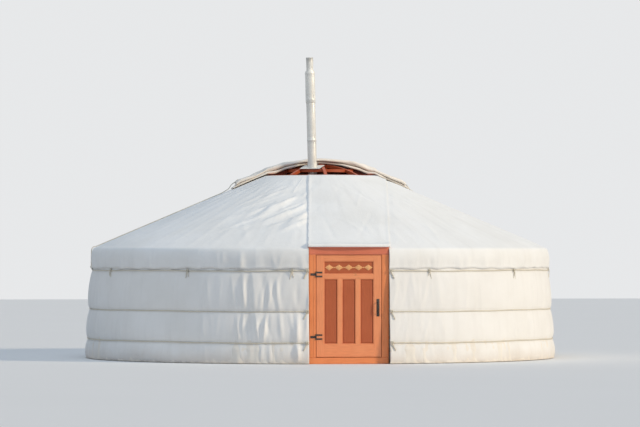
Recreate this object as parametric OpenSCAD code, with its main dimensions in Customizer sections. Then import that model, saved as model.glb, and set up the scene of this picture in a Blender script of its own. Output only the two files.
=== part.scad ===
// Five-wall yurt with a timber crown, canvas cover, painted door and stovepipe.
// The ground is z = 0, the door faces -Y and the crown stands over the origin.

/* [Wall] */
// Height of the wall felt above the ground, mm
wall_height = 1425; // [1200:5:1700]
// Radius of the wall's inner face at the ground, mm
wall_base_radius = 3092; // [2500:1:3600]
// How far the wall leans in for each millimetre of height
wall_lean = 0.0598; // [0:0.0001:0.12]
// Thickness of the felt, mm
felt_thickness = 22; // [10:1:40]
// Thickness of the cotton cover, mm
canvas_thickness = 5; // [4:0.5:8]
// Height of the base strip that closes the foot of the wall, mm
base_strip_height = 300; // [150:10:450]
// Number of wall sections
wall_sections = 5; // [4:1:6]

/* [Lattice] */
// Number of crossing heads in one wall section
lattice_heads = 10; // [8:1:14]
// Width of one lattice slat, mm
slat_width = 30; // [20:1:40]
// Thickness of one lattice slat, mm
slat_thickness = 9; // [6:0.5:14]
// Height of the lowest row of crossings, mm
lattice_first_row = 62; // [30:1:90]
// Height of the highest row of crossings, mm
lattice_last_row = 1365; // [1200:1:1600]

/* [Roof] */
// Rise of the roof for each millimetre towards the crown
roof_rise = 0.425; // [0.3:0.005:0.6]
// Height of the underside of the roof felt at 3 m from the centre, mm
roof_felt_height = 1445; // [1400:1:1600]
// Thickness of the roof felt measured upright, mm
roof_felt_thickness = 25; // [15:1:45]
// Height of the hem of the roof cover, mm
skirt_height = 1200; // [1100:5:1400]
// Height of the axis of a roof pole at its lower end, mm
pole_foot_height = 1419.8; // [1400:0.1:1500]
// Radius of a roof pole at its lower end, mm
pole_foot_radius = 17; // [12:0.5:24]
// Radius of a roof pole at the crown, mm
pole_top_radius = 14; // [10:0.5:20]
// Width of the square tenon of a roof pole, mm
pole_tenon = 25; // [18:1:30]

/* [Crown] */
// Outer radius of the crown ring, mm
crown_radius = 720; // [500:5:1000]
// Radial width of the crown ring, mm
crown_ring_width = 90; // [60:5:140]
// Height of the underside of the crown ring, mm
crown_bottom = 2330; // [2200:5:2600]
// Height of the top of the crown ring, mm
crown_top = 2440; // [2300:5:2700]
// Height of the top of the dome of spokes, mm
crown_apex = 2585; // [2500:5:2900]
// Width of one dome spoke, mm
spoke_width = 40; // [25:1:60]
// Depth of one dome spoke, mm
spoke_depth = 40; // [25:1:70]
// Number of dome spokes
spoke_count = 8; // [6:1:12]
// Outer radius of the folded crown cloth, mm
crown_cloth_radius = 1200; // [900:10:1400]
// Thickness of the folded crown cloth over the hub, mm
crown_cloth_bulk = 56; // [20:2:120]
// Extra height of the roll where the crown cloth turns back, mm
crown_roll = 16; // [0:2:40]

/* [Door] */
// Overall width of the door frame, mm
frame_width = 1020; // [800:10:1200]
// Overall height of the door frame, mm
frame_height = 1500; // [1300:10:1800]
// Depth of the door frame from front to back, mm
frame_depth = 100; // [80:5:160]
// Distance of the front of the frame from the centre, mm
frame_front = 2995; // [2900:1:3100]
// Width of one door jamb, mm
jamb_width = 90; // [60:5:130]
// Height of the lintel, mm
lintel_height = 120; // [80:5:160]
// Height of the sill, mm
sill_height = 80; // [50:5:130]
// Thickness of the door leaf, mm
leaf_thickness = 40; // [30:1:60]
// Gap all around the door leaf, mm
leaf_gap = 6; // [5:0.5:10]
// Width of one tall door panel, mm
panel_width = 175; // [120:5:220]

/* [Ropes] */
// Radius of the ropes around the wall, mm
rope_radius = 7; // [4:0.5:12]
// Heights of the three ropes around the wall, mm
rope_heights = [1175, 660, 265]; // [100:5:1300]

/* [Stovepipe] */
// Distance of the stovepipe from the centre, mm
pipe_distance = 330; // [150:5:350]
// Outer radius of the lower pipe, mm
pipe_radius = 60; // [45:1:80]
// Outer radius of the sleeve on the upper pipe, mm
sleeve_radius = 66; // [60:1:100]
// Outer radius of the tip, mm
tip_radius = 47; // [40:1:70]
// Thickness of the pipe wall, mm
pipe_wall = 3; // [2:0.5:5]
// Height of the top of the stovepipe, mm
pipe_top = 4010; // [3500:10:4500]
// Lean of the stovepipe to the left, degrees
pipe_lean = 1.5; // [0:0.1:4]

/* [Hidden] */
$fn = 256;
felt_gap = 1;
butt_gap = 0.5;
section_angle = 67.6;
first_section = -79;
wall_start = -86;
wall_end = 266;
sector_slit = 0.04;
cut_margin = 10;
outside = 3300;
door_gap_depth = 1300;
door_gap_margin = 5;
under_cover = 3;
pole_slope = atan(0.4245);
pole_foot_distance = 2998;
felt_inner_radius = crown_radius + 25;
felt_outer_radius = 3014;
cover_inner_radius = crown_radius + 35;
flap_inner_radius = crown_radius + 50;
eave_radius = 3036;
eave_height = 1455;
hem_radius = 3051;
flap_bend = 2890;
half_step = section_angle / (2 * lattice_heads);
lattice_start = first_section + half_step;
lattice_rows = 6;
row_rise = (lattice_last_row - lattice_first_row) / lattice_rows;
lattice_clearance = 4;
slat_lap = 1.5;
foot_share = 0.2;
end_share = 0.12;
slat_angle = atan(row_rise / (half_step * PI / 180 * 3046));
half_opening = frame_width / 2 - jamb_width;
stop_width = 20;
stop_depth = 45;
leaf_half = half_opening - leaf_gap;
leaf_bottom = sill_height + 8;
leaf_top = frame_height - lintel_height - 8;
panel_low = 250;
panel_high = 1075;
frieze_low = 1135;
frieze_high = 1300;
panel_pitch = panel_width + 55;
panel_thickness = 14;
pin_x = -half_opening + 2;
pin_y = -frame_front - 8;
spoke_seat = 45;
spoke_sink = 20;
spoke_reach = crown_radius - crown_ring_width + spoke_seat;
spoke_drop = crown_apex - crown_top + spoke_sink;
spoke_start = 60;
notch_depth = 62;
mortise_depth = 50;
dome_radius = (pow(spoke_reach, 2) + pow(spoke_drop, 2)) / (2 * spoke_drop);
dome_centre = crown_apex - dome_radius;
hub_radius = 95;
hub_rise = 4;
hub_height = 66;
hoop_radius = 430;
hoop_width = 30;
hoop_height = 38;
cloth_front = 110;
cloth_lift = 44;
pipe_angle = -115;
pipe_bottom = 2250;
pipe_joint = 3430;
sleeve_bottom = 3405;
sleeve_top = 3815;
plate_size = [230, 280];
flap_skew = 7;
handle_low = 600;
handle_high = 820;
lozenge_pitch = 125;
door_pole_step = (360 - section_angle * wall_sections + 2 * half_step) / 5;
door_pole_angles = [for (i = [-1.5:1:1.5]) i * door_pole_step];

CANVAS_COLOR = [0.90, 0.89, 0.86];
FELT_COLOR = [0.72, 0.68, 0.60];
TIMBER_COLOR = [0.62, 0.27, 0.12];
DOOR_COLOR = [0.88, 0.47, 0.17];
PANEL_COLOR = [0.62, 0.30, 0.12];
ROPE_COLOR = [0.80, 0.74, 0.62];
STEEL_COLOR = [0.82, 0.82, 0.80];
IRON_COLOR = [0.25, 0.24, 0.23];

// Radius of the wall's inner face at height z.
function wall_radius(z) = wall_base_radius - wall_lean * z;

// Height of the underside of the roof felt at radius r.
function roof_z(r) = roof_felt_height + roof_rise * (3000 - r);

// Height of a roof pole's axis at radius r.
function pole_z(r) = pole_foot_height + tan(pole_slope) * (pole_foot_distance - r);

// Height of the top of the dome of spokes at radius r.
function dome_z(r) = dome_centre + sqrt(dome_radius * dome_radius - r * r);

// How far the outer face of a number of cotton layers stands outside the wall's inner face.
function cover_out(layers) = felt_thickness + layers * (felt_gap + canvas_thickness);

// A sector of a revolved outline from one bearing to another.
module sector(from, to) {
    rotate([0, 0, from])
        rotate_extrude(angle = to - from)
            children();
}

// Section of a wall layer that stands a given distance outside the inner face.
module wall_layer(offset_out, thickness, low, high) {
    polygon([
        [wall_radius(low) + offset_out, low],
        [wall_radius(low) + offset_out + thickness, low],
        [wall_radius(high) + offset_out + thickness, high],
        [wall_radius(high) + offset_out, high]
    ]);
}

// The space kept free for the door frame in the wall.
module door_gap(half_width, low, high) {
    translate([-half_width, -outside, low])
        cube([2 * half_width, door_gap_depth, high - low]);
}

// One felt section of the wall, cut at the door where it reaches it.
module wall_felt(index) {
    from = index == 0 ? wall_start : first_section + index * section_angle;
    to = index == wall_sections - 1 ? wall_end : first_section + (index + 1) * section_angle;
    color(FELT_COLOR)
        difference() {
            sector(from + sector_slit / 2, to - sector_slit / 2)
                wall_layer(0, felt_thickness, 0, wall_height);
            door_gap(frame_width / 2 + door_gap_margin, -cut_margin, wall_height + cut_margin);
        }
}

// One half of the cotton wall cover, from the door to the back seam.
module wall_canvas(from, to) {
    color(CANVAS_COLOR)
        difference() {
            sector(from, to)
                wall_layer(cover_out(0) + felt_gap, canvas_thickness, under_cover, wall_height);
            door_gap(frame_width / 2 + door_gap_margin, -cut_margin, wall_height + cut_margin);
        }
}

// The narrow strip laid around the foot of the wall.
module base_strip() {
    color(CANVAS_COLOR)
        difference() {
            sector(wall_start, wall_end)
                wall_layer(cover_out(1) + felt_gap, canvas_thickness, under_cover,
                    base_strip_height);
            door_gap(frame_width / 2 + door_gap_margin, -cut_margin,
                base_strip_height + cut_margin);
        }
}

// A point on the lattice cone at a half-step position and a row.
function lattice_point(start, position, row) =
    let (z = lattice_first_row + row * row_rise,
        r = wall_radius(z) - lattice_clearance,
        a = start + position * half_step)
    [r * cos(a), r * sin(a), z, a];

// The four corners of a slat at a point, on the outer or the inner layer.
function slat_corners(p, lean, depth) =
    let (a = p[3],
        radial = [cos(a), sin(a), 0],
        across = [-sin(a), cos(a), 0],
        up = [-wall_lean * cos(a), -wall_lean * sin(a), 1],
        side = (-lean * sin(slat_angle) * across + cos(slat_angle) * up) * slat_width / 2,
        centre = [p[0], p[1], p[2]])
    [centre - radial * depth + side,
        centre - radial * depth - side,
        centre - radial * (depth + slat_thickness) - side,
        centre - radial * (depth + slat_thickness) + side];

// The end point carried past a crossing by a share of the last stretch.
function carried(p, q, share) = [for (i = [0:3]) p[i] + (p[i] - q[i]) * share];

// One slat that climbs the lattice cone from a row to a row.
module slat(start, position, low, high, lean, depth) {
    mids = [for (row = [2:2:lattice_rows - 2]) if (row > low && row < high) row];
    rows = concat([low], mids, [high]);
    points = [for (row = rows) lattice_point(start, position + lean * (row - low), row)];
    last = len(points) - 1;
    path = [for (i = [0:last])
        i == 0 ? carried(points[0], points[1], foot_share / (rows[1] - rows[0]))
        : i == last && high < lattice_rows
            ? carried(points[last], points[last - 1], end_share / (rows[last] - rows[last - 1]))
        : points[i]];
    corners = [for (p = path) each slat_corners(p, lean, depth)];
    sides = [for (i = [0:last - 1], k = [0:3])
        [4 * i + k, 4 * i + (k + 1) % 4, 4 * i + 4 + (k + 1) % 4, 4 * i + 4 + k]];
    ends = [[3, 2, 1, 0], [4 * last, 4 * last + 1, 4 * last + 2, 4 * last + 3]];
    if (lean > 0)
        polyhedron(corners, concat([for (f = sides) [f[3], f[2], f[1], f[0]]],
            [for (f = ends) [f[3], f[2], f[1], f[0]]]));
    else
        polyhedron(corners, concat(sides, ends));
}

// The tapered head of a slat above its highest crossing.
module slat_head(start, position, lean, depth) {
    p = lattice_point(start, position, lattice_rows);
    mid = depth + slat_thickness / 2;
    head = slat_thickness - 0.6;
    translate([p[0], p[1], p[2]])
        rotate([0, 0, p[3]])
            rotate([0, -atan(wall_lean), 0])
                rotate([-lean * (90 - slat_angle), 0, 0])
                    translate([-mid, 0, 0])
                        hull() {
                            translate([-head / 2, -slat_width / 2 + 0.4, -18])
                                cube([head, slat_width - 0.8, 1]);
                            translate([-head / 2, -slat_width / 2 + 4, 44])
                                cube([head, slat_width - 8, 1]);
                        }
}

// One folding section of the lattice wall, its slats lashed at every crossing.
module lattice(index) {
    start = lattice_start + index * section_angle;
    last = 2 * lattice_heads - 1;
    color(TIMBER_COLOR) {
        for (foot = [0:2:last - 1]) {
            top = min(lattice_rows, last - foot);
            slat(start, foot, 0, top, 1, 0);
            if (top == lattice_rows)
                slat_head(start, foot + lattice_rows, 1, 0);
        }
        for (row = [2:2:lattice_rows - 2]) {
            slat(start, 0, row, lattice_rows, 1, 0);
            slat_head(start, lattice_rows - row, 1, 0);
        }
        for (foot = [2:2:last - 1]) {
            top = min(lattice_rows, foot);
            slat(start, foot, 0, top, -1, slat_thickness - slat_lap);
            if (top == lattice_rows)
                slat_head(start, foot - lattice_rows, -1, slat_thickness - slat_lap);
        }
        for (row = [1:2:lattice_rows - 1]) {
            slat(start, last, row, lattice_rows, -1, slat_thickness - slat_lap);
            slat_head(start, last - lattice_rows + row, -1, slat_thickness - slat_lap);
        }
    }
}

// One roof pole: a tapered shaft with a square tenon for the crown.
module roof_pole(bearing, foot) {
    length = (foot - crown_radius - 7) / cos(pole_slope);
    rotate([0, 0, bearing])
        translate([foot, 0, pole_z(foot)])
            rotate([0, pole_slope - 90, 0]) {
                cylinder(h = length, r1 = pole_foot_radius, r2 = pole_top_radius, $fn = 24);
                translate([-pole_tenon / 2, -pole_tenon / 2, length - 20])
                    cube([pole_tenon, pole_tenon, 64]);
            }
}

// Bearings of the poles that stand on the lattice heads.
pole_bearings = [for (s = [0:wall_sections - 1], h = [0:lattice_heads - 1])
    lattice_start + s * section_angle + 2 * h * half_step];

// A run of roof poles; the first and the last run take two door poles each.
module roof_poles(run) {
    color(TIMBER_COLOR) {
        for (i = [0:len(pole_bearings) - 1])
            if (floor(i * 4 / len(pole_bearings)) == run)
                roof_pole(pole_bearings[i], pole_foot_distance);
        for (a = door_pole_angles)
            if ((run == 0 && a > 0) || (run == 3 && a < 0))
                roof_pole(-90 + a, (frame_front - frame_depth + 32) / cos(a));
    }
}

// The timber ring of the crown with a mortise for each pole.
module crown_ring() {
    mortise = pole_tenon + 2;
    color(TIMBER_COLOR)
        difference() {
            rotate_extrude()
                translate([crown_radius - crown_ring_width, crown_bottom])
                    square([crown_ring_width, crown_top - crown_bottom]);
            for (a = concat(pole_bearings, [for (d = door_pole_angles) -90 + d]))
                rotate([0, 0, a])
                    translate([crown_radius + 6, 0, pole_z(crown_radius + 6)])
                        rotate([0, pole_slope - 90, 0])
                            translate([-mortise / 2, -mortise / 2, 0])
                                cube([mortise, mortise, mortise_depth]);
            for (i = [0:spoke_count - 1])
                rotate([0, 0, i * 360 / spoke_count])
                    translate([crown_radius - crown_ring_width - 1, -spoke_width / 2 - 1,
                        crown_top - notch_depth])
                        cube([spoke_seat + 3, spoke_width + 2, notch_depth + 1]);
        }
}

// The dome of spokes over the ring, with its hub and its inner hoop.
module crown_wheel() {
    low_angle = asin(spoke_start / dome_radius);
    high_angle = asin(spoke_reach / dome_radius);
    color(TIMBER_COLOR) {
        for (i = [0:spoke_count - 1])
            rotate([0, 0, i * 360 / spoke_count])
                translate([0, 0, dome_centre])
                    rotate([90, 0, 0])
                        rotate([0, 0, 90 - high_angle])
                            rotate_extrude(angle = high_angle - low_angle)
                                translate([dome_radius - spoke_depth, -spoke_width / 2])
                                    square([spoke_depth, spoke_width]);
        translate([0, 0, crown_apex + hub_rise - hub_height])
            cylinder(h = hub_height, r = hub_radius);
        rotate_extrude()
            translate([hoop_radius - hoop_width / 2, dome_z(hoop_radius) - hoop_height - 4])
                square([hoop_width, hoop_height]);
    }
}

// The crown cloth folded back over the rear half of the crown, with the roll of its fold.
module crown_cover() {
    edge = crown_cloth_radius;
    beyond_ring = crown_radius + 70;
    inner = [
        [0, crown_apex + 14],
        [60, crown_apex + 14],
        [300, dome_z(300) + 10],
        [500, dome_z(500) + 10],
        [640, dome_z(640) + 10],
        [crown_radius + 15, crown_top + 8],
        [beyond_ring, roof_z(beyond_ring) + cloth_lift],
        [edge, roof_z(edge) + cloth_lift]
    ];
    outer = [
        [edge + 8, roof_z(edge) + cloth_lift + 16],
        [edge - 40, roof_z(edge - 40) + cloth_lift + 50],
        [edge - 110, roof_z(edge - 110) + cloth_lift + 76],
        [edge - 240, roof_z(edge - 240) + cloth_lift + 66],
        [beyond_ring, roof_z(beyond_ring) + cloth_lift + 68],
        [640, dome_z(640) + crown_cloth_bulk + 54],
        [480, dome_z(480) + crown_cloth_bulk + 38],
        [280, dome_z(280) + crown_cloth_bulk + 20],
        [0, crown_apex + crown_cloth_bulk + 14]
    ];
    fold = [for (p = outer) [p[0], p[1] + crown_roll]];
    color(CANVAS_COLOR) {
        cloth_strip(cloth_front, outside)
            polygon(concat(inner, outer));
        cloth_strip(cloth_front - 12, 0)
            polygon(concat([for (p = inner) [p[0], p[1] + 8]], fold));
    }
}

// A revolved outline cut to the strip from a distance in front to a distance behind.
module cloth_strip(front, back) {
    intersection() {
        rotate_extrude()
            children();
        translate([-outside, -front, crown_bottom - 300])
            cube([2 * outside, front + back, 800]);
    }
}

// A rope drawn through points with rounded bends.
module rope_run(points, radius) {
    for (i = [0:len(points) - 2]) {
        step = points[i + 1] - points[i];
        length = norm(step);
        translate(points[i])
            rotate([0, acos(step[2] / length), atan2(step[1], step[0])])
                cylinder(h = length, r = radius, $fn = 16);
    }
    for (p = points)
        translate(p)
            sphere(r = radius * 1.04, $fn = 16);
}

// A taut rope from the crown cloth over the roof to the upper wall rope.
module crown_rope(bearing) {
    edge = crown_cloth_radius;
    color(ROPE_COLOR)
        rotate([0, 0, bearing])
            rope_run([
                [edge - 100, 0, roof_z(edge - 100) + cloth_lift + 90],
                [edge - 10, 0, roof_z(edge - 10) + cloth_lift + 58],
                [edge + 30, 0, roof_z(edge + 30) + cloth_lift + 16],
                [edge + 110, 0, roof_z(edge + 110) + 42],
                [eave_radius - 32, 0, roof_z(eave_radius - 32) + 43],
                [eave_radius + 17, 0, eave_height + 15],
                [eave_radius + 24, 0, eave_height - 25],
                [hem_radius + 17, 0, skirt_height - 6]
            ], rope_radius - 1);
}

// One quarter of the roof felt, notched over the door.
module roof_felt(from, to) {
    color(FELT_COLOR)
        difference() {
            sector(from + sector_slit / 2, to - sector_slit / 2)
                polygon([
                    [felt_inner_radius, roof_z(felt_inner_radius)],
                    [felt_outer_radius, roof_z(felt_outer_radius)],
                    [felt_outer_radius, roof_z(felt_outer_radius) + roof_felt_thickness],
                    [felt_inner_radius, roof_z(felt_inner_radius) + roof_felt_thickness]
                ]);
            roof_notch();
        }
}

// The space kept free for the lintel in the roof layers.
module roof_notch() {
    translate([-frame_width / 2 - 2, -outside, 1000])
        cube([frame_width + 4, outside - frame_front + frame_depth + 2, 1000]);
}

// The roof cover: a cone rolled over the eave into a hanging skirt.
module roof_canvas() {
    low = roof_felt_thickness + 2;
    high = low + canvas_thickness;
    inner = cover_inner_radius;
    turn = eave_radius - 31;
    color(CANVAS_COLOR)
        difference() {
            rotate_extrude()
                polygon([
                    [inner, roof_z(inner) + low],
                    [turn, roof_z(turn) + low + 1],
                    [eave_radius, eave_height],
                    [eave_radius + 6, eave_height - 25],
                    [hem_radius, skirt_height],
                    [hem_radius + canvas_thickness, skirt_height],
                    [eave_radius + 11, eave_height - 23],
                    [eave_radius + 5, eave_height + 4],
                    [turn + 2, roof_z(turn + 2) + high + 1],
                    [inner, roof_z(inner) + high]
                ]);
            roof_notch();
        }
}

// The front flap laid over the roof from the crown to the lintel.
module front_flap() {
    low = roof_felt_thickness + canvas_thickness + 4;
    high = low + canvas_thickness;
    color(CANVAS_COLOR)
        intersection() {
            sector(-130, -6)
                polygon([
                    [flap_inner_radius, roof_z(flap_inner_radius) + low],
                    [flap_bend, roof_z(flap_bend) + low],
                    [eave_radius + 9, frame_height + 4],
                    [hem_radius, frame_height - 24],
                    [hem_radius + canvas_thickness, frame_height - 24],
                    [eave_radius + 14, frame_height + 9],
                    [flap_bend + 2, roof_z(flap_bend + 2) + high],
                    [flap_inner_radius, roof_z(flap_inner_radius) + high]
                ]);
            translate([0, -frame_front, frame_height - 100])
                rotate([0, 0, -flap_skew])
                    translate([-frame_width / 2 - 8, frame_front - outside, 0])
                        cube([frame_width + 16, outside, 1200]);
        }
}

// One of the two posts under the crown ring, with its foot and bracket.
module crown_post(bearing) {
    mid = crown_radius - crown_ring_width / 2;
    color(TIMBER_COLOR)
        rotate([0, 0, bearing]) {
            translate([mid, 0, 0])
                cylinder(h = 30, r = 90, $fn = 8);
            translate([mid, 0, 20])
                cylinder(h = 60, r = 65, $fn = 8);
            translate([mid, 0, 70])
                cylinder(h = crown_bottom - 140 - butt_gap, r = 42, $fn = 8);
            sector(-11, 11)
                translate([crown_radius - crown_ring_width + 8, crown_bottom - 70])
                    square([crown_ring_width - 16, 70 - butt_gap]);
        }
}

// One jamb of the door frame with its stop.
module door_jamb(side) {
    color(DOOR_COLOR)
        mirror([side < 0 ? 1 : 0, 0, 0]) {
            height = frame_height - lintel_height - sill_height - 2 * butt_gap;
            translate([half_opening, -frame_front, sill_height + butt_gap])
                cube([jamb_width, frame_depth, height]);
            translate([half_opening - stop_width, -frame_front + stop_depth,
                sill_height + 25 + butt_gap])
                cube([stop_width + 1, frame_depth - stop_depth, height - 50]);
        }
}

// The lintel of the door frame with sockets for the door poles.
module door_lintel() {
    color(DOOR_COLOR)
        difference() {
            union() {
                translate([-frame_width / 2, -frame_front, frame_height - lintel_height])
                    cube([frame_width, frame_depth, lintel_height]);
                translate([-half_opening + butt_gap, -frame_front + stop_depth,
                    frame_height - lintel_height - 25 + butt_gap])
                    cube([2 * half_opening - 2 * butt_gap, frame_depth - stop_depth, 40]);
            }
            for (a = door_pole_angles) {
                foot = (frame_front - frame_depth + 36) / cos(a);
                rotate([0, 0, -90 + a])
                    translate([foot, 0, pole_z(foot)])
                        rotate([0, pole_slope - 90, 0])
                            cylinder(h = 120, r = pole_foot_radius + 2, $fn = 24);
            }
        }
}

// The sill of the door frame with its raised stop.
module door_sill() {
    color(DOOR_COLOR) {
        translate([-frame_width / 2, -frame_front, 0])
            cube([frame_width, frame_depth, sill_height]);
        translate([-half_opening + butt_gap, -frame_front + stop_depth, sill_height - 10])
            cube([2 * half_opening - 2 * butt_gap, frame_depth - stop_depth, 35 - butt_gap]);
    }
}

// The door leaf: stiles and rails around three tall panels and a frieze.
module door_leaf() {
    back = -frame_front + leaf_thickness;
    color(DOOR_COLOR)
        difference() {
            translate([-leaf_half, -frame_front, leaf_bottom])
                cube([2 * leaf_half, leaf_thickness, leaf_top - leaf_bottom]);
            for (i = [-1:1])
                translate([i * panel_pitch - panel_width / 2, -frame_front - 1, panel_low])
                    cube([panel_width, leaf_thickness + 2, panel_high - panel_low]);
            translate([-frieze_half(), -frame_front - 1, frieze_low])
                cube([2 * frieze_half(), leaf_thickness + 2, frieze_high - frieze_low]);
        }
}

// Half the width of the frieze panel.
function frieze_half() = panel_pitch + panel_width / 2;

// A raised lozenge of the frieze ornament.
module lozenge(x, size, depth) {
    translate([x, -frame_front + 14, (frieze_low + frieze_high) / 2])
        rotate([90, 0, 0])
            linear_extrude(height = depth)
                polygon([[-size * 1.5, 0], [0, -size], [size * 1.5, 0], [0, size]]);
}

// The panels set in the leaf, the frieze with a row of lozenges.
module door_panels() {
    color(PANEL_COLOR) {
        for (i = [-1:1])
            translate([i * panel_pitch - panel_width / 2 + butt_gap,
                -frame_front + 16, panel_low + butt_gap])
                cube([panel_width - 2 * butt_gap, panel_thickness,
                    panel_high - panel_low - 2 * butt_gap]);
        translate([-frieze_half() + butt_gap, -frame_front + 12, frieze_low + butt_gap])
            cube([2 * frieze_half() - 2 * butt_gap, panel_thickness,
                frieze_high - frieze_low - 2 * butt_gap]);
        for (i = [-2:2])
            lozenge(i * lozenge_pitch, 38, 10);
    }
}

// The pull handles on both faces of the leaf.
module door_handle() {
    x = leaf_half - 42;
    color(IRON_COLOR)
        for (face = [-1, 1]) {
            y = face < 0 ? -frame_front - butt_gap : -frame_front + leaf_thickness + butt_gap;
            for (z = [handle_low + 40, handle_high - 40])
                translate([x, y, z])
                    rotate([face < 0 ? 90 : -90, 0, 0])
                        cylinder(h = face < 0 ? 42 : 30, r = 7, $fn = 24);
            translate([x, y + face * (face < 0 ? 36 : 24), handle_low + 22])
                cylinder(h = handle_high - handle_low - 44, r = 8, $fn = 24);
            translate([x - 18, face < 0 ? y - 4 : y, handle_low])
                cube([36, 4, handle_high - handle_low]);
        }
}

// Heights of the middle of the two hinges.
hinge_heights = [340, 1130];

// The hinge straps and outer knuckles that move with the leaf.
module hinge_leaf_plates() {
    color(IRON_COLOR)
        for (z = hinge_heights)
            difference() {
                for (part = [-1, 1])
                    translate([0, 0, z + part * 25]) {
                        translate([pin_x, pin_y, -10])
                            cylinder(h = 20, r = 7, $fn = 32);
                        translate([pin_x, pin_y + 3, -10])
                            cube([80, 4.5, 20]);
                    }
                translate([pin_x, pin_y, z - 40])
                    cylinder(h = 80, r = 3.5, $fn = 32);
            }
}

// The hinge straps, middle knuckles and pins that stay on the frame.
module hinge_frame_plates() {
    color(IRON_COLOR)
        for (z = hinge_heights) {
            translate([pin_x, pin_y, z - 14.6])
                cylinder(h = 29.2, r = 7, $fn = 32);
            translate([pin_x - 72, pin_y + 3, z - 14.6])
                cube([72, 4.5, 29.2]);
            translate([pin_x, pin_y, z - 37])
                cylinder(h = 74, r = 3, $fn = 32);
        }
}

// A rope around the wall over some cotton layers, with a whipped end at each jamb.
module wall_rope(index, layers) {
    z = rope_heights[index];
    centre = wall_radius(z) + cover_out(layers) + rope_radius + 0.6;
    end = 10;
    knot = 0.7;
    color(ROPE_COLOR) {
        sector(-90 + end, 270 - end)
            translate([centre, z])
                circle(r = rope_radius);
        for (a = [-90 + end, 270 - end - knot])
            sector(a, a + knot)
                translate([centre + rope_radius * 0.7, z])
                    circle(r = rope_radius * 1.73);
    }
}

// Places a child on the foot of the stovepipe's axis.
module at_pipe() {
    translate([pipe_distance * cos(pipe_angle), pipe_distance * sin(pipe_angle), 0])
        children();
}

// Leans a child with the stovepipe about the place where it passes the spokes.
module leaning() {
    pivot = dome_z(pipe_distance);
    translate([0, 0, pivot])
        rotate([0, -pipe_lean, 0])
            translate([0, 0, -pivot])
                children();
}

// A straight length of hollow pipe.
module tube(low, high, radius) {
    translate([0, 0, low])
        difference() {
            cylinder(h = high - low, r = radius);
            translate([0, 0, -1])
                cylinder(h = high - low + 2, r = radius - pipe_wall);
        }
}

// The lower pipe from inside the room to the sleeve.
module stovepipe_lower() {
    color(STEEL_COLOR)
        at_pipe()
            leaning() {
                tube(pipe_bottom, pipe_joint, pipe_radius);
                for (z = [pipe_bottom - 4, pipe_bottom + 650])
                    tube(z, z + 16, pipe_radius + 2);
            }
}

// The sleeve over the joint and the narrower tip above it.
module stovepipe_upper() {
    color(STEEL_COLOR)
        at_pipe()
            leaning()
                rotate_extrude()
                    polygon([
                        [pipe_radius + 1, sleeve_bottom],
                        [sleeve_radius, sleeve_bottom],
                        [sleeve_radius, sleeve_top],
                        [tip_radius, sleeve_top + 25],
                        [tip_radius, pipe_top],
                        [tip_radius - pipe_wall, pipe_top],
                        [tip_radius - pipe_wall, sleeve_top + 23],
                        [sleeve_radius - pipe_wall, sleeve_top - 3],
                        [sleeve_radius - pipe_wall, sleeve_bottom + 35],
                        [pipe_radius + 1, sleeve_bottom + 35]
                    ]);
}

// The tilted metal plate with a collar that carries the pipe on the spokes.
module stovepipe_flashing() {
    tilt = asin(pipe_distance / dome_radius);
    height = dome_z(pipe_distance) + 1;
    color(STEEL_COLOR)
        at_pipe()
            difference() {
                union() {
                    translate([0, 0, height])
                        rotate([0, 0, pipe_angle])
                            rotate([0, tilt, 0])
                                translate([8 - plate_size[0] / 2, -plate_size[1] / 2, 0])
                                    cube([plate_size[0], plate_size[1], pipe_wall]);
                    leaning()
                        translate([0, 0, height - 14])
                            cylinder(h = 70, r = pipe_radius + 6);
                }
                leaning()
                    translate([0, 0, height - 60])
                        cylinder(h = 200, r = pipe_radius + butt_gap);
            }
}

wall_felt(0);  // wall_felt_1
wall_felt(1);  // wall_felt_2
wall_felt(2);  // wall_felt_3
wall_felt(3);  // wall_felt_4
wall_felt(4);  // wall_felt_5
wall_canvas(90.02, wall_end);  // wall_canvas_left
wall_canvas(wall_start, 89.98);  // wall_canvas_right
base_strip();
lattice(0);  // lattice_1
lattice(1);  // lattice_2
lattice(2);  // lattice_3
lattice(3);  // lattice_4
lattice(4);  // lattice_5
roof_poles(0);  // roof_poles_1
roof_poles(1);  // roof_poles_2
roof_poles(2);  // roof_poles_3
roof_poles(3);  // roof_poles_4
crown_ring();
crown_wheel();
crown_cover();
crown_rope(176);  // crown_rope_left
crown_rope(4);  // crown_rope_right
crown_rope(90);  // crown_rope_back
roof_felt(180, 270);  // roof_felt_front_left
roof_felt(-90, 0);  // roof_felt_front_right
roof_felt(90, 180);  // roof_felt_back_left
roof_felt(0, 90);  // roof_felt_back_right
roof_canvas();
front_flap();
crown_post(180);  // post_left
crown_post(0);  // post_right
door_jamb(-1);  // door_jamb_left
door_jamb(1);  // door_jamb_right
door_lintel();
door_sill();
door_leaf();
door_panels();
door_handle();
hinge_leaf_plates();
hinge_frame_plates();
wall_rope(0, 1);  // wall_rope_upper
wall_rope(1, 1);  // wall_rope_middle
wall_rope(2, 2);  // wall_rope_lower
stovepipe_lower();
stovepipe_upper();
stovepipe_flashing();
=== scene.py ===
"""Dresses a five-wall yurt: canvas, felt, painted timber, ropes and stovepipe.

Sizes are metres. The ground is z = 0, the door faces -Y and the crown is over the origin.
"""

import logging
import random
from dataclasses import dataclass
from enum import Enum
from math import atan, atan2, ceil, cos, hypot, pi, radians, sin, sqrt, tau
from typing import Callable, Optional, Sequence

import bmesh
import bpy
import numpy as np
from mathutils import Matrix, Vector


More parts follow.
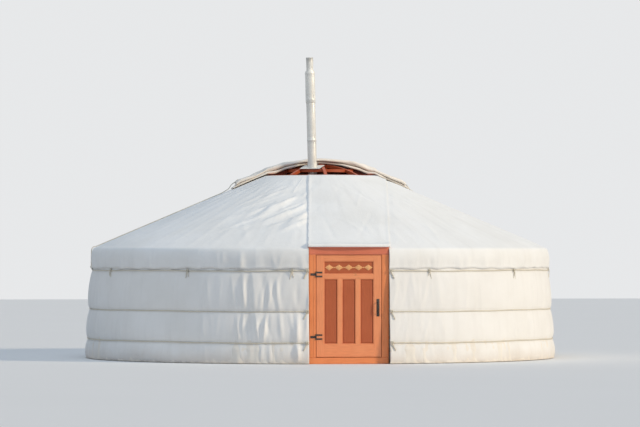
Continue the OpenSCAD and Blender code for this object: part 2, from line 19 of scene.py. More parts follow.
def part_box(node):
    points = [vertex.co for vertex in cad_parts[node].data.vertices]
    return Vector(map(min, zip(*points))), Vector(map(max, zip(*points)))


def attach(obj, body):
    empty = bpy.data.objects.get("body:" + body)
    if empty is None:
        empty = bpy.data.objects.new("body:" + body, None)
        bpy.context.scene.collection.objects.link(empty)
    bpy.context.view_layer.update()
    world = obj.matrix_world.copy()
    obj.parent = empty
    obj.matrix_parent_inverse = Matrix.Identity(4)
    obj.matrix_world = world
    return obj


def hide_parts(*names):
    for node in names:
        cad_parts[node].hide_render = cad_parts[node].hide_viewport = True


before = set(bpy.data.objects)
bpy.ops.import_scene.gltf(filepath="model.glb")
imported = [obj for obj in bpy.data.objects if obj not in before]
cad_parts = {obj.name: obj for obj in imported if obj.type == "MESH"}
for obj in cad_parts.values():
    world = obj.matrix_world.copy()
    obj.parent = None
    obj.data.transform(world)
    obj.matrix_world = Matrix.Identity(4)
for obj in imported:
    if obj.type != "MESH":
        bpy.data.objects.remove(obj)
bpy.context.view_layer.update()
log = logging.getLogger("yurt")
DOOR_BEARING = -pi / 2

Array = np.ndarray
Mesh = bmesh.types.BMesh
Verts = list[bmesh.types.BMVert]
Edges = list[bmesh.types.BMEdge]
Piece = bpy.types.Object
Finish = bpy.types.Material
Socket = bpy.types.NodeSocket
Colour = tuple[float, float, float, float]
Place = tuple[float, float, float]
Pair = tuple[float, float]
Line = Sequence[Pair]
Runs = Sequence[Sequence[Vector]]


class Body(Enum):
    """The rigid bodies that pieces ride on."""

    ROOT = "root"
    DOOR = "door"


class Slot(Enum):
    """The material slots of the part's record."""

    CANVAS = "canvas"
    FELT = "felt"
    TIMBER = "timber"
    DOOR_PAINT = "door_paint"
    PANEL_PAINT = "panel_paint"
    ROPE = "rope"
    STEEL = "steel"
    IRON = "iron"


class Held(Enum):
    """How a sheet of cloth is held."""

    LAID = "laid"
    FOLDED = "folded"
    STRETCHED = "stretched"


# Sizes shared by the pieces


@dataclass(frozen=True)
class Plan:
    """The yurt's driving sizes, the same as those of the solids."""

    wall_base_radius: float = 3.092
    wall_lean: float = 0.0598
    wall_height: float = 1.425
    felt: float = 0.022
    cover: float = 0.005
    layer_gap: float = 0.001
    eave_radius: float = 3.0
    roof_felt_height: float = 1.445
    roof_rise: float = 0.425
    roof_felt: float = 0.025
    skirt_height: float = 1.2
    crown_radius: float = 0.72
    crown_top: float = 2.44
    crown_apex: float = 2.585
    spoke_reach: float = 0.675
    spoke_sink: float = 0.02
    cloth_radius: float = 1.2
    cloth_front: float = 0.11
    flap_skew: float = 7.0
    pipe_distance: float = 0.33
    pipe_bearing: float = -115.0
    pipe_lean: float = 1.5
    frame_width: float = 1.02
    frame_height: float = 1.5
    frame_front: float = 2.995
    frame_depth: float = 0.1
    jamb_width: float = 0.09
    sections: int = 5
    section_angle: float = 67.6
    first_section: float = -79.0
    door_edge: float = -86.0
    heads: int = 10
    rows: int = 6
    first_row: float = 0.062
    last_row: float = 1.365
    rope_radius: float = 0.007
    rope_heights: Place = (1.175, 0.66, 0.265)

    def wall_radius(self, z: float) -> float:
        """Radius of the wall's inner face at height z."""
        return self.wall_base_radius - self.wall_lean * z

    def cover_radius(self, z: float) -> float:
        """Radius of the wall cover's outer face at height z."""
        return self.wall_radius(z) + self.felt + self.layer_gap + self.cover

    def roof_z(self, r: float) -> float:
        """Height of the underside of the roof felt at radius r."""
        return self.roof_felt_height + self.roof_rise * (self.eave_radius - r)

    @property
    def dome_radius(self) -> float:
        """Radius of the sphere that the crown's spokes follow."""
        drop = self.crown_apex - self.crown_top + self.spoke_sink
        return (self.spoke_reach ** 2 + drop ** 2) / (2 * drop)

    def dome_z(self, r: float) -> float:
        """Height of the top of the crown's spokes at radius r."""
        return self.crown_apex - self.dome_radius + sqrt(self.dome_radius ** 2 - r * r)

    @property
    def half_step(self) -> float:
        """Angle in degrees between two neighbouring rows' crossings."""
        return self.section_angle / (2 * self.heads)

    @property
    def row_rise(self) -> float:
        """Height between two neighbouring rows."""
        return (self.last_row - self.first_row) / self.rows

    def section_start(self, index: int) -> float:
        """Bearing in degrees of the first head of a lattice section."""
        return self.first_section + self.half_step + index * self.section_angle

    @property
    def half_frame(self) -> float:
        """Half the width of the door frame."""
        return self.frame_width / 2

    @property
    def frame_back(self) -> float:
        """Distance of the door frame's inner face from the middle."""
        return self.frame_front - self.frame_depth

    def flap_offset(self, points: Array) -> Array:
        """Distance of each place from the middle line of the front flap, large behind it.

        Args:
            points: the places.

        Returns:
            One distance a place.
        """
        skew = radians(self.flap_skew)
        offset = np.abs(points[:, 0] * cos(skew)
                        - (points[:, 1] + self.frame_front) * sin(skew))
        return np.where(points[:, 1] < 0, offset, self.wall_base_radius)

    def pole_bearings(self) -> list[float]:
        """Bearings of the roof poles.

        Returns:
            The bearings in degrees, those over the door last.
        """
        walls = [self.section_start(s) + 2 * h * self.half_step
                 for s in range(self.sections) for h in range(self.heads)]
        step = (360 - self.sections * self.section_angle + 2 * self.half_step) / 5
        return walls + [-90 + i * step for i in (-1.5, -0.5, 0.5, 1.5)]


PLAN = Plan()


# Material recipes


def tone(red: int, green: int, blue: int) -> Colour:
    """Turns a colour of 0 to 255 as seen on a screen into a shader's linear colour.

    Args:
        red: red as seen.
        green: green as seen.
        blue: blue as seen.

    Returns:
        The linear colour with full alpha.
    """
    linear = [c / 255 / 12.92 if c <= 10 else ((c / 255 + 0.055) / 1.055) ** 2.4
              for c in (red, green, blue)]
    return (linear[0], linear[1], linear[2], 1.0)


def shaded(colour: Colour, red: float, green: float, blue: float) -> Colour:
    """A colour with its red, green and blue scaled, none of them past 1."""
    return tuple(min(1.0, c * k) for c, k in zip(colour, (red, green, blue, 1.0)))


class Nodes:
    """A node tree, with short ways to add and join its nodes."""

    def __init__(self, owner: Finish | bpy.types.World) -> None:
        """Starts with an empty tree.

        Args:
            owner: the material or the world.
        """
        owner.use_nodes = True
        self.tree = owner.node_tree
        self.tree.nodes.clear()

    def join(self, source: Socket, target: Socket) -> None:
        """Links an output to an input."""
        self.tree.links.new(source, target)

    def feed(self, target: Socket, value: object) -> None:
        """Gives an input a plain value, or links it where the value is a socket.

        Args:
            target: the input.
            value: a number, a colour or a socket.
        """
        if isinstance(value, Socket):
            self.join(value, target)
        else:
            target.default_value = value

    def add(self, kind: str, **values: object) -> bpy.types.Node:
        """Adds a node and sets its inputs or properties.

        Args:
            kind: the node's type without the ShaderNode prefix.
            **values: inputs by name with spaces as underscores, or properties in lower case.
                A socket as value is linked.

        Returns:
            The new node.
        """
        node = self.tree.nodes.new("ShaderNode" + kind)
        for key, value in values.items():
            if key[0].islower():
                setattr(node, key, value)
                continue
            self.feed(node.inputs[key.replace("_", " ")], value)
        return node

    def sum(self, operation: str, first: object, second: object) -> Socket:
        """Arithmetic on two sockets or numbers.

        Args:
            operation: its kind.
            first: a socket or a number.
            second: a socket or a number.

        Returns:
            The result's socket.
        """
        node = self.add("Math", operation=operation)
        self.feed(node.inputs[0], first)
        self.feed(node.inputs[1], second)
        return node.outputs[0]


class Recipe(Nodes):
    """A material with one shader, and short ways to mix what feeds it."""

    def __init__(self, name: str) -> None:
        """Starts a material with only its shader and output.

        Args:
            name: the material's name.
        """
        self.material = bpy.data.materials.new(name)
        super().__init__(self.material)
        output = self.add("OutputMaterial")
        self.shader = self.add("BsdfPrincipled")
        self.join(self.shader.outputs["BSDF"], output.inputs["Surface"])

    def place(self) -> Socket:
        """Object coordinates in metres."""
        return self.add("TexCoord").outputs["Object"]

    def unwrapped(self) -> Socket:
        """The piece's own UV map, in metres along the cloth or the timber."""
        return self.add("UVMap", uv_map="cut").outputs["UV"]

    def scaled(self, vector: Socket, scale: Place) -> Socket:
        """A vector scaled along each axis."""
        return self.add("Mapping", Vector=vector, Scale=scale).outputs["Vector"]

    def noise(self, vector: Socket, scale: float, detail: float = 4.0,
              roughness: float = 0.55) -> Socket:
        """Cloudy noise from 0 to 1."""
        return self.add("TexNoise", Vector=vector, Scale=scale, Detail=detail,
                        Roughness=roughness).outputs["Fac"]

    def bands(self, vector: Socket, scale: float, direction: str,
              distortion: float = 0.0) -> Socket:
        """Sine bands across one direction."""
        return self.add("TexWave", wave_type="BANDS", bands_direction=direction, Vector=vector,
                        Scale=scale, Distortion=distortion, Detail=1.0).outputs["Fac"]

    def span(self, value: Socket, low: float, high: float,
             to_low: float = 0.0, to_high: float = 1.0) -> Socket:
        """A value eased from one range to another."""
        return self.add("MapRange", interpolation_type="SMOOTHSTEP", Value=value, From_Min=low,
                        From_Max=high, To_Min=to_low, To_Max=to_high).outputs["Result"]

    def times(self, first: object, second: object) -> Socket:
        """The product of two sockets or numbers."""
        return self.sum("MULTIPLY", first, second)

    def blend(self, share: Socket, first: object, second: object) -> Socket:
        """Mixes two colours by a share.

        Args:
            share: 0 gives the first and 1 the second.
            first: a colour or a socket.
            second: a colour or a socket.

        Returns:
            The mixed colour's socket.
        """
        node = self.add("Mix", data_type="RGBA")
        self.join(share, node.inputs[0])
        self.feed(node.inputs[6], first)
        self.feed(node.inputs[7], second)
        return node.outputs[2]

    def relief(self, height: Socket, distance: float, strength: float) -> None:
        """Adds a bump layer on top of those that the shader already has.

        Args:
            height: the height from 0 to 1.
            distance: the depth in metres of a height of 1.
            strength: how much of it shows.
        """
        layer = self.add("Bump", Height=height, Distance=distance, Strength=strength)
        normal = self.shader.inputs["Normal"]
        if normal.links:
            self.join(normal.links[0].from_socket, layer.inputs["Normal"])
        self.join(layer.outputs["Normal"], normal)

    def set(self, **values: float) -> None:
        """Sets plain numbers on the shader's own sockets."""
        for key, value in values.items():
            self.shader.inputs[key.replace("_", " ")].default_value = value

    def paint(self, colour: Socket, roughness: Socket) -> None:
        """Links the finished colour and roughness."""
        self.join(colour, self.shader.inputs["Base Color"])
        self.join(roughness, self.shader.inputs["Roughness"])


@dataclass(frozen=True)
class CottonCanvas:
    """Cotton duck: woven, faintly blotched, with rain streaks and a dusty foot."""

    name: str
    colour: Colour
    dust: Colour = tone(190, 160, 128)
    thread: float = 0.0028
    dust_height: float = 0.35

    def make(self) -> Finish:
        """Builds the cloth's material.

        Returns:
            The material.
        """
        r = Recipe(self.name)
        place, cut = r.place(), r.unwrapped()
        blotch = r.span(r.noise(place, 1.6, 5), 0.32, 0.72)
        streak = r.span(r.noise(r.scaled(cut, (9.0, 0.9, 1.0)), 1.0, 4), 0.45, 0.8)
        darker = shaded(self.colour, 0.90, 0.89, 0.87)
        grey = shaded(self.colour, 0.84, 0.83, 0.82)
        colour = r.blend(r.times(blotch, 0.55), self.colour, darker)
        colour = r.blend(r.times(streak, 0.35), colour, grey)
        height = r.add("SeparateXYZ", Vector=place).outputs["Z"]
        edge = r.sum("ADD", height, r.times(r.noise(place, 5.0, 5), 0.22))
        foot = r.span(edge, 0.06, self.dust_height, 0.28, 0.0)
        colour = r.blend(foot, colour, self.dust)
        warp = r.bands(cut, 0.5 / self.thread, "X", 0.6)
        weft = r.bands(cut, 0.5 / self.thread, "Y", 0.6)
        weave = r.times(r.sum("ADD", warp, weft), 0.5)
        slub = r.noise(r.scaled(cut, (60.0, 420.0, 1.0)), 1.0, 2)
        r.paint(colour, r.span(slub, 0.2, 0.8, 0.78, 0.94))
        r.relief(r.noise(place, 7.0, 4, 0.5), 0.006, 0.6)
        r.relief(weave, 0.0006, 0.55)
        r.relief(slub, 0.0005, 0.5)
        r.set(Sheen_Weight=0.12, Sheen_Roughness=0.6, Specular_IOR_Level=0.2)
        return r.material


@dataclass(frozen=True)
class PressedFelt:
    """Sheep's wool felt: matted fibres, darker flecks and soft hollows."""

    name: str
    colour: Colour = tone(205, 194, 172)

    def make(self) -> Finish:
        """Builds the felt's material.

        Returns:
            The material.
        """
        r = Recipe(self.name)
        place = r.place()
        fibre = r.noise(r.scaled(place, (90.0, 90.0, 30.0)), 1.0, 8, 0.72)
        matted = r.span(r.noise(place, 2.4, 6), 0.3, 0.7)
        flecks = r.span(r.noise(place, 46.0, 3, 0.7), 0.62, 0.72)
        shade = shaded(self.colour, 0.68, 0.68, 0.68)
        colour = r.blend(r.times(matted, 0.6), self.colour, shade)
        colour = r.blend(r.times(flecks, 0.45), colour, tone(120, 104, 84))
        r.paint(colour, r.span(fibre, 0.2, 0.8, 0.88, 1.0))
        r.relief(fibre, 0.003, 0.8)
        r.relief(matted, 0.006, 0.5)
        r.set(Sheen_Weight=0.25, Sheen_Roughness=0.5, Specular_IOR_Level=0.1)
        return r.material


@dataclass(frozen=True)
class PaintedTimber:
    """Painted timber: grain under the paint, brush marks, scuffed bare spots."""

    name: str
    colour: Colour
    bare: Colour = tone(206, 142, 98)
    wear: float = 0.5
    gloss: float = 0.42

    def make(self) -> Finish:
        """Builds the timber's material.

        Returns:
            The material.
        """
        r = Recipe(self.name)
        place, cut = r.place(), r.unwrapped()
        grain = r.noise(r.scaled(cut, (6.0, 130.0, 1.0)), 1.0, 6, 0.6)
        figure = r.bands(r.scaled(cut, (1.2, 22.0, 1.0)), 1.0, "Y", 5.0)
        brush = r.noise(r.scaled(cut, (3.0, 320.0, 1.0)), 1.0, 2)
        faded = r.span(r.noise(place, 3.1, 5), 0.3, 0.75)
        deep = shaded(self.colour, 0.62, 0.52, 0.5)
        pale = shaded(self.colour, 1.08, 1.18, 1.3)
        colour = r.blend(r.span(grain, 0.35, 0.75, 0.0, 0.55), self.colour, deep)
        colour = r.blend(r.times(figure, 0.14), colour, deep)
        colour = r.blend(r.times(faded, 0.4), colour, pale)
        scuff = r.times(r.noise(place, 21.0, 6, 0.65), r.noise(place, 4.0, 3))
        chips = r.span(scuff, 0.42 - 0.08 * self.wear, 0.47 - 0.08 * self.wear)
        colour = r.blend(r.times(chips, self.wear), colour, self.bare)
        rough = r.sum("ADD", r.span(brush, 0.2, 0.8, self.gloss - 0.07, self.gloss + 0.1),
                      r.times(chips, 0.3))
        r.paint(colour, rough)
        r.relief(grain, 0.0012, 0.55)
        r.relief(brush, 0.0004, 0.5)
        r.relief(r.sum("SUBTRACT", 1.0, chips), 0.0006, 0.6)
        r.set(Specular_IOR_Level=0.4)
        return r.material


@dataclass(frozen=True)
class TwistedHair:
    """Horse-hair rope: three strands laid around each other, with loose fibres and painted groove
    shade.
    """

    name: str
    colour: Colour = tone(232, 224, 206)
    lay: float = 0.045

    def make(self) -> Finish:
        """Builds the rope's material. Its cut map runs along the rope, then around it.

        Returns:
            The material.
        """
        r = Recipe(self.name)
        cut = r.unwrapped()
        split = r.add("SeparateXYZ", Vector=cut)
        turn = r.sum("ADD", r.sum("DIVIDE", split.outputs["X"], self.lay), split.outputs["Y"])
        strand = r.sum("ABSOLUTE", r.sum("SINE", r.times(turn, 3 * pi), 0.0), 0.0)
        hair = r.noise(r.scaled(cut, (260.0, 8.0, 1.0)), 1.0, 4, 0.7)
        # Painted shade: the grooves between the strands are darkened to half, where the strand bump is
        # lowest.
        groove_shade = shaded(self.colour, 0.5, 0.5, 0.5)
        colour = r.blend(r.span(strand, 0.1, 0.55), groove_shade, self.colour)
        colour = r.blend(r.span(hair, 0.5, 0.8, 0.0, 0.3), colour, tone(150, 128, 100))
        r.paint(colour, r.span(hair, 0.2, 0.8, 0.75, 0.95))
        r.relief(strand, 0.0025, 0.9)
        r.relief(hair, 0.0006, 0.7)
        r.set(Specular_IOR_Level=0.2, Sheen_Weight=0.1)
        return r.material


@dataclass(frozen=True)
class GalvanisedSheet:
    """Zinc-coated sheet: spangled, dulled, heat-tinted and sooty towards the top."""

    name: str
    colour: Colour = tone(240, 238, 232)
    soot_from: float = 3.93

    def make(self) -> Finish:
        """Builds the sheet's material.

        Returns:
            The material.
        """
        r = Recipe(self.name)
        place = r.place()
        spangle = r.add("TexVoronoi", Vector=place, Scale=55.0).outputs["Distance"]
        drips = r.span(r.noise(r.scaled(place, (26.0, 26.0, 1.6)), 1.0, 5), 0.42, 0.75)
        dull = r.span(r.noise(place, 6.0, 5), 0.3, 0.7)
        shade = shaded(self.colour, 0.72, 0.72, 0.72)
        colour = r.blend(r.span(spangle, 0.1, 0.7, 0.0, 0.3), self.colour, shade)
        colour = r.blend(r.times(dull, 0.3), colour, tone(200, 200, 198))
        colour = r.blend(r.times(drips, 0.2), colour, tone(176, 158, 132))
        height = r.add("SeparateXYZ", Vector=place).outputs["Z"]
        edge = r.sum("ADD", height, r.times(r.noise(place, 18.0, 4), 0.14))
        soot = r.span(edge, self.soot_from, self.soot_from + 0.24, 0.0, 0.45)
        colour = r.blend(soot, colour, tone(60, 54, 50))
        r.paint(colour, r.span(spangle, 0.0, 0.7, 0.34, 0.52))
        r.relief(spangle, 0.0003, 0.4)
        r.relief(dull, 0.002, 0.4)
        r.set(Metallic=0.3, Specular_IOR_Level=0.5)
        return r.material


@dataclass(frozen=True)
class ForgedIron:
    """Forged iron: dark scale, hammer marks and a trace of rust."""

    name: str

    def make(self) -> Finish:
        """Builds the iron's material.

        Returns:
            The material.
        """
        r = Recipe(self.name)
        place = r.place()
        hammer = r.add("TexVoronoi", Vector=place, Scale=140.0).outputs["Distance"]
        rust = r.span(r.noise(place, 38.0, 5), 0.52, 0.74)
        worn = r.span(r.noise(place, 90.0, 3), 0.4, 0.7)
        colour = r.blend(worn, tone(62, 58, 56), tone(104, 100, 97))
        colour = r.blend(r.times(rust, 0.55), colour, tone(126, 74, 42))
        r.paint(colour, r.span(worn, 0.0, 1.0, 0.62, 0.42))
        r.relief(hammer, 0.0012, 0.6)
        r.set(Metallic=0.75)
        return r.material


@dataclass(frozen=True)
class Rawhide:
    """Rawhide knots: translucent yellow leather, with painted shade in its creases."""

    name: str

    def make(self) -> Finish:
        """Builds the hide's material.

        Returns:
            The material.
        """
        r = Recipe(self.name)
        place = r.place()
        crease = r.noise(place, 210.0, 5, 0.7)
        # Painted shade: the hollows of the creases are darkened, in step with the crease bump.
        colour = r.blend(r.span(crease, 0.3, 0.7), tone(112, 84, 52), tone(190, 160, 112))
        r.paint(colour, r.span(crease, 0.2, 0.8, 0.45, 0.7))
        r.relief(crease, 0.001, 0.8)
        r.set(Specular_IOR_Level=0.4)
        return r.material


class Palette:
    """Every finish of the yurt, mixed once."""

    def __init__(self) -> None:
        """Mixes all the finishes."""
        self.roof_cotton = CottonCanvas("roof_cotton", tone(246, 245, 243)).make()
        self.wall_cotton = CottonCanvas("wall_cotton", tone(244, 242, 239)).make()
        self.base_cotton = CottonCanvas("base_cotton", tone(242, 236, 227), dust_height=0.2).make()
        self.crown_cotton = CottonCanvas("crown_cotton", tone(250, 241, 230)).make()
        self.felt = PressedFelt("pressed_felt").make()
        self.timber = PaintedTimber("crown_timber", tone(186, 84, 44), wear=0.35).make()
        self.frame_paint = PaintedTimber("frame_orange", tone(248, 152, 96)).make()
        self.lintel_paint = PaintedTimber("lintel_red_orange", tone(236, 136, 104)).make()
        self.leaf_paint = PaintedTimber("leaf_orange", tone(250, 158, 108), wear=0.55).make()
        self.panel_paint = PaintedTimber("panel_brown_orange", tone(190, 98, 58), wear=0.3).make()
        self.ornament_paint = PaintedTimber("ornament_gold", tone(246, 184, 124), wear=0.3).make()
        self.rope = TwistedHair("hair_rope").make()
        self.steel = GalvanisedSheet("zinc_sheet").make()
        self.iron = ForgedIron("forged_iron").make()
        self.hide = Rawhide("rawhide").make()


@dataclass
class Part:
    """What every part of the yurt is made with."""

    palette: Palette
    plan: Plan = PLAN


# Mesh making helpers


def finish(bm: Mesh, name: str, material: Finish,
           body: Body = Body.ROOT, stands_for: Sequence[str] = (), smooth: bool = True,
           merge: float = 1e-5, outward: bool = True) -> Piece:
    """Turns a bmesh into a finished piece that rides on a body.

    Args:
        bm: the modelled mesh, freed here.
        name: the piece's name.
        material: its finish.
        body: the body that it moves with.
        stands_for: CAD nodes that it replaces.
        smooth: whether faces are shaded smooth.
        merge: how close vertices are merged.
        outward: whether the normals are recalculated.

    Returns:
        The piece's object.
    """
    bmesh.ops.remove_doubles(bm, verts=bm.verts[:], dist=merge)
    if outward:
        bmesh.ops.recalc_face_normals(bm, faces=bm.faces[:])
    mesh = bpy.data.meshes.new(name)
    for face in bm.faces:
        face.smooth = smooth
    bm.to_mesh(mesh)
    bm.free()
    mesh.materials.append(material)
    piece = bpy.data.objects.new(name, mesh)
    bpy.context.scene.collection.objects.link(piece)
    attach(piece, body.value)
    if stands_for:
        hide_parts(*stands_for)
    log.info("%s: %d faces on %s", name, len(mesh.polygons), body.value)
    return piece


def outline(bm: Mesh, points: Line, spacing: float, close: bool = False) -> Verts:
    """Draws an outline of radius and height in the XZ plane, cut into short stretches.

    Args:
        bm: the mesh.
        points: corners as (radius, height).
        spacing: the longest stretch.
        close: whether the last corner joins the first.

    Returns:
        The outline's vertices in order.
    """
    corners = [Vector((r, 0.0, z)) for r, z in points]
    if close:
        corners.append(corners[0])
    along = bm.verts.layers.float.get("along") or bm.verts.layers.float.new("along")
    travelled = 0.0
    row = [bm.verts.new(corners[0])]
    for start, end in zip(corners, corners[1:]):
        length = (end - start).length
        count = max(1, ceil(length / spacing))
        for i in range(1, count + 1):
            vert = bm.verts.new(start.lerp(end, i / count))
            vert[along] = travelled + length * i / count
            row.append(vert)
        travelled += length
    if close:
        bm.verts.remove(row.pop())
    ring = row + row[:1] if close else row
    for first, second in zip(ring, ring[1:]):
        bm.edges.new((first, second))
    return row


def revolve(bm: Mesh, bearing: float, sweep: float, steps: int) -> None:
    """Spins everything in the mesh about Z, from one bearing through a sweep in degrees.

    A first sector is spun and then repeated, which is quicker than one long spin.

    Args:
        bm: the mesh, with only the outline in it.
        bearing: where the spin starts.
        sweep: how far it goes.
        steps: faces around the whole sweep, a multiple of 10.
    """
    rotate(bm, bm.verts[:], bearing)
    sectors = 20 if steps % 20 == 0 else 10
    sector = radians(sweep) / sectors
    spin(bm, sector, steps // sectors)
    spin(bm, sector * (sectors - 1), sectors - 1, repeat=True)
    bmesh.ops.remove_doubles(bm, verts=bm.verts[:], dist=5e-5)


def cut_map(bm: Mesh) -> bmesh.types.BMLayerItem:
    """The mesh's cut map, made on first use."""
    return bm.loops.layers.uv.get("cut") or bm.loops.layers.uv.new("cut")


def at(radius: float, bearing: float, z: float) -> Vector:
    """The place at a radius, a bearing in radians and a height."""
    return Vector((radius * cos(bearing), radius * sin(bearing), z))


def rounded(bm: Mesh, edges: Edges, width: float) -> Verts:
    """Rounds edges to a width and gives the new vertices."""
    return bmesh.ops.bevel(bm, geom=edges, offset=width, offset_type="OFFSET", segments=2,
                           profile=0.5, affect="EDGES", material=-1, clamp_overlap=True)["verts"]


def spin(bm: Mesh, angle: float, steps: int, merge: bool = False, repeat: bool = False) -> None:
    """Spins the whole mesh about Z, merged where the spin is full, or repeats it."""
    bmesh.ops.spin(bm, geom=everything(bm), cent=(0, 0, 0), axis=(0, 0, 1), angle=angle,
                   steps=steps, use_merge=merge, use_duplicate=repeat)


def everything(bm: Mesh) -> list:
    """All vertices, edges and faces of a mesh."""
    return bm.verts[:] + bm.edges[:] + bm.faces[:]


def edges_of(verts: Verts) -> Edges:
    """Every edge that meets one of the vertices."""
    return list({e for v in verts for e in v.link_edges})


def faces_of(verts: Verts) -> set[bmesh.types.BMFace]:
    """Every face that has one of the vertices."""
    return {f for v in verts for f in v.link_faces}


def cone(bm: Mesh, sides: int, low: float, high: float, length: float) -> Verts:
    """Adds a closed cone along Z with a radius at each end."""
    return bmesh.ops.create_cone(bm, cap_ends=True, cap_tris=False, segments=sides, radius1=low,
                                 radius2=high, depth=length)["verts"]


def stretched(place: Sequence[float], size: Sequence[float]) -> Matrix:
    """Scales along each axis, then moves to a place."""
    return Matrix.Translation(place) @ Matrix.Diagonal((*size, 1.0))


def about(degrees: float, axis: str = "Z", size: int = 3) -> Matrix:
    """A turn about an axis, as a matrix of 3 or 4 rows."""
    return Matrix.Rotation(radians(degrees), size, axis)


def rotate(bm: Mesh, verts: Verts, degrees: float, axis: str = "Z") -> None:
    """Turns vertices about an axis through the origin."""
    bmesh.ops.rotate(bm, verts=verts, cent=(0, 0, 0), matrix=about(degrees, axis))


def unwrap_round(bm: Mesh, radius: float) -> None:
    """Gives a round piece its cut map: metres around at a radius, then metres along.

    Args:
        bm: the mesh.
        radius: where the metres around are true.
    """
    layer = cut_map(bm)
    along = bm.verts.layers.float.get("along")
    for face in bm.faces:
        middle = face.calc_center_median()
        facing = atan2(middle.y, middle.x)
        for loop in face.loops:
            co = loop.vert.co
            turn = atan2(co.y, co.x) - facing
            turn -= tau * round(turn / tau)
            climb = loop.vert[along] if along else co.z + hypot(co.x, co.y)
            loop[layer].uv = ((facing + turn) * radius, climb)


def unwrap_board(bm: Mesh, length_axis: int, verts: Optional[Verts] = None,
                 shift: float = 0.0) -> None:
    """Gives boards a cut map whose first axis runs along the grain.

    Args:
        bm: the mesh.
        length_axis: the axis that the grain follows, 0 to 2.
        verts: only faces of these vertices, or all faces.
        shift: moves the pattern so that like boards differ.
    """
    layer = cut_map(bm)
    chosen = None if verts is None else set(verts)
    others = [i for i in range(3) if i != length_axis]
    for face in bm.faces:
        if chosen is not None and face.verts[0] not in chosen:
            continue
        normal = [abs(face.normal[i]) for i in others]
        across = others[0] if normal[0] < normal[1] else others[1]
        for loop in face.loops:
            co = loop.vert.co
            loop[layer].uv = (co[length_axis] + shift * 3.1, co[across] + shift)


def solid_copy(node: str) -> Mesh:
    """Copies a solid's mesh, merged and with its flat faces joined.

    Args:
        node: the CAD node.

    Returns:
        The copy.
    """
    bm = bmesh.new()
    bm.from_mesh(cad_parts[node].data)
    bmesh.ops.remove_doubles(bm, verts=bm.verts[:], dist=1e-5)
    bmesh.ops.dissolve_limit(bm, angle_limit=radians(1.0), verts=bm.verts[:],
                             edges=bm.edges[:], use_dissolve_boundaries=False)
    return bm


def cut_away(bm: Mesh, inside: Callable[[Vector], bool],
             planes: Sequence[tuple[Vector, Vector]]) -> None:
    """Cuts the mesh along planes and deletes the faces whose middle is inside.

    Args:
        bm: the mesh.
        inside: tells whether a face's middle goes.
        planes: a point and a normal each.
    """
    for point, normal in planes:
        bmesh.ops.bisect_plane(bm, geom=everything(bm), dist=1e-6,
                               plane_co=point, plane_no=normal)
    gone = [f for f in bm.faces if inside(f.calc_center_median())]
    bmesh.ops.delete(bm, geom=gone, context="FACES")


def door_planes(half_width: float, depth: float) -> list[tuple[Vector, Vector]]:
    """The two sides and the inner end of a slot at the door.

    Args:
        half_width: half the slot's width.
        depth: how far out its inner end is.

    Returns:
        A point and a normal each.
    """
    return [(Vector((-half_width, 0, 0)), Vector((1, 0, 0))),
            (Vector((half_width, 0, 0)), Vector((1, 0, 0))),
            (Vector((0, -depth, 0)), Vector((0, 1, 0)))]


def board(bm: Mesh, low: Place, high: Place, edge: float, grain: int,
          shift: float = 0.0) -> Verts:
    """Adds a board between two corners, with rounded edges and a cut map along its grain.

    Args:
        bm: the mesh.
        low: one corner.
        high: the corner across from it.
        edge: the rounding of its edges.
        grain: the axis that its grain follows.
        shift: moves its grain pattern.

    Returns:
        The board's vertices.
    """
    size = Vector([abs(b - a) for a, b in zip(low, high)])
    middle = (Vector(high) + Vector(low)) / 2
    cut_map(bm)
    made = bmesh.ops.create_cube(bm, size=1.0, matrix=stretched(middle, size))["verts"]
    if edge > 0:
        made = rounded(bm, edges_of(made), edge)
    bm.normal_update()
    unwrap_board(bm, grain, made, shift)
    return made


def points_of(piece: Piece) -> Array:
    """Every vertex of a piece as an array of places.

    Args:
        piece: the mesh object.

    Returns:
        One row a vertex.
    """
    points = np.empty(len(piece.data.vertices) * 3)
    piece.data.vertices.foreach_get("co", points)
    return points.reshape(-1, 3)


def displace(piece: Piece, depth: Callable[[Array], Array]) -> None:
    """Moves every vertex along its normal.

    Args:
        piece: the mesh object.
        depth: gives the move in metres for an array of points.
    """
    mesh = piece.data
    points = points_of(piece)
    normals = np.empty(points.size)
    mesh.vertex_normals.foreach_get("vector", normals)
    points += normals.reshape(-1, 3) * depth(points)[:, None]
    mesh.vertices.foreach_set("co", points.ravel())
    mesh.update()


def thicken(piece: Piece, thickness: float) -> None:
    """Gives a sheet its thickness inwards, with a live modifier."""
    solid = piece.modifiers.new("thickness", "SOLIDIFY")
    solid.thickness, solid.offset = thickness, -1.0


def waves(points: Array, length: float, seed: int, count: int = 9) -> Array:
    """Smooth unevenness from -1 to 1 made of a few seeded sine waves.

    Args:
        points: the places.
        length: the typical wave length in metres.
        seed: picks the waves.
        count: how many waves are added.

    Returns:
        One value a place.
    """
    rng = np.random.default_rng(seed)
    total = np.zeros(len(points))
    for _ in range(count):
        direction = rng.normal(size=3)
        direction /= np.linalg.norm(direction)
        k = tau / (length * rng.uniform(0.6, 1.6))
        total += np.sin(points @ direction * k + rng.uniform(0, tau))
    return total / count ** 0.5 / 1.6


def ramp(values: Array, start: float, end: float) -> Array:
    """0 before the start, 1 past the end and even between."""
    return np.clip((values - start) / (end - start), 0, 1)


def bump(values: Array, middle: float, width: float, power: int = 2) -> Array:
    """1 at the middle, fading out on both sides over a width."""
    return np.exp(-((values - middle) / width) ** power)


def bearing_of(points: Array) -> Array:
    """Bearings of points about Z in radians."""
    return np.arctan2(points[:, 1], points[:, 0])


def radius_of(points: Array) -> Array:
    """Distances of points from Z."""
    return np.hypot(points[:, 0], points[:, 1])


def turned(angle: Array) -> Array:
    """Wraps angles to within half a turn of zero."""
    return (angle + pi) % tau - pi


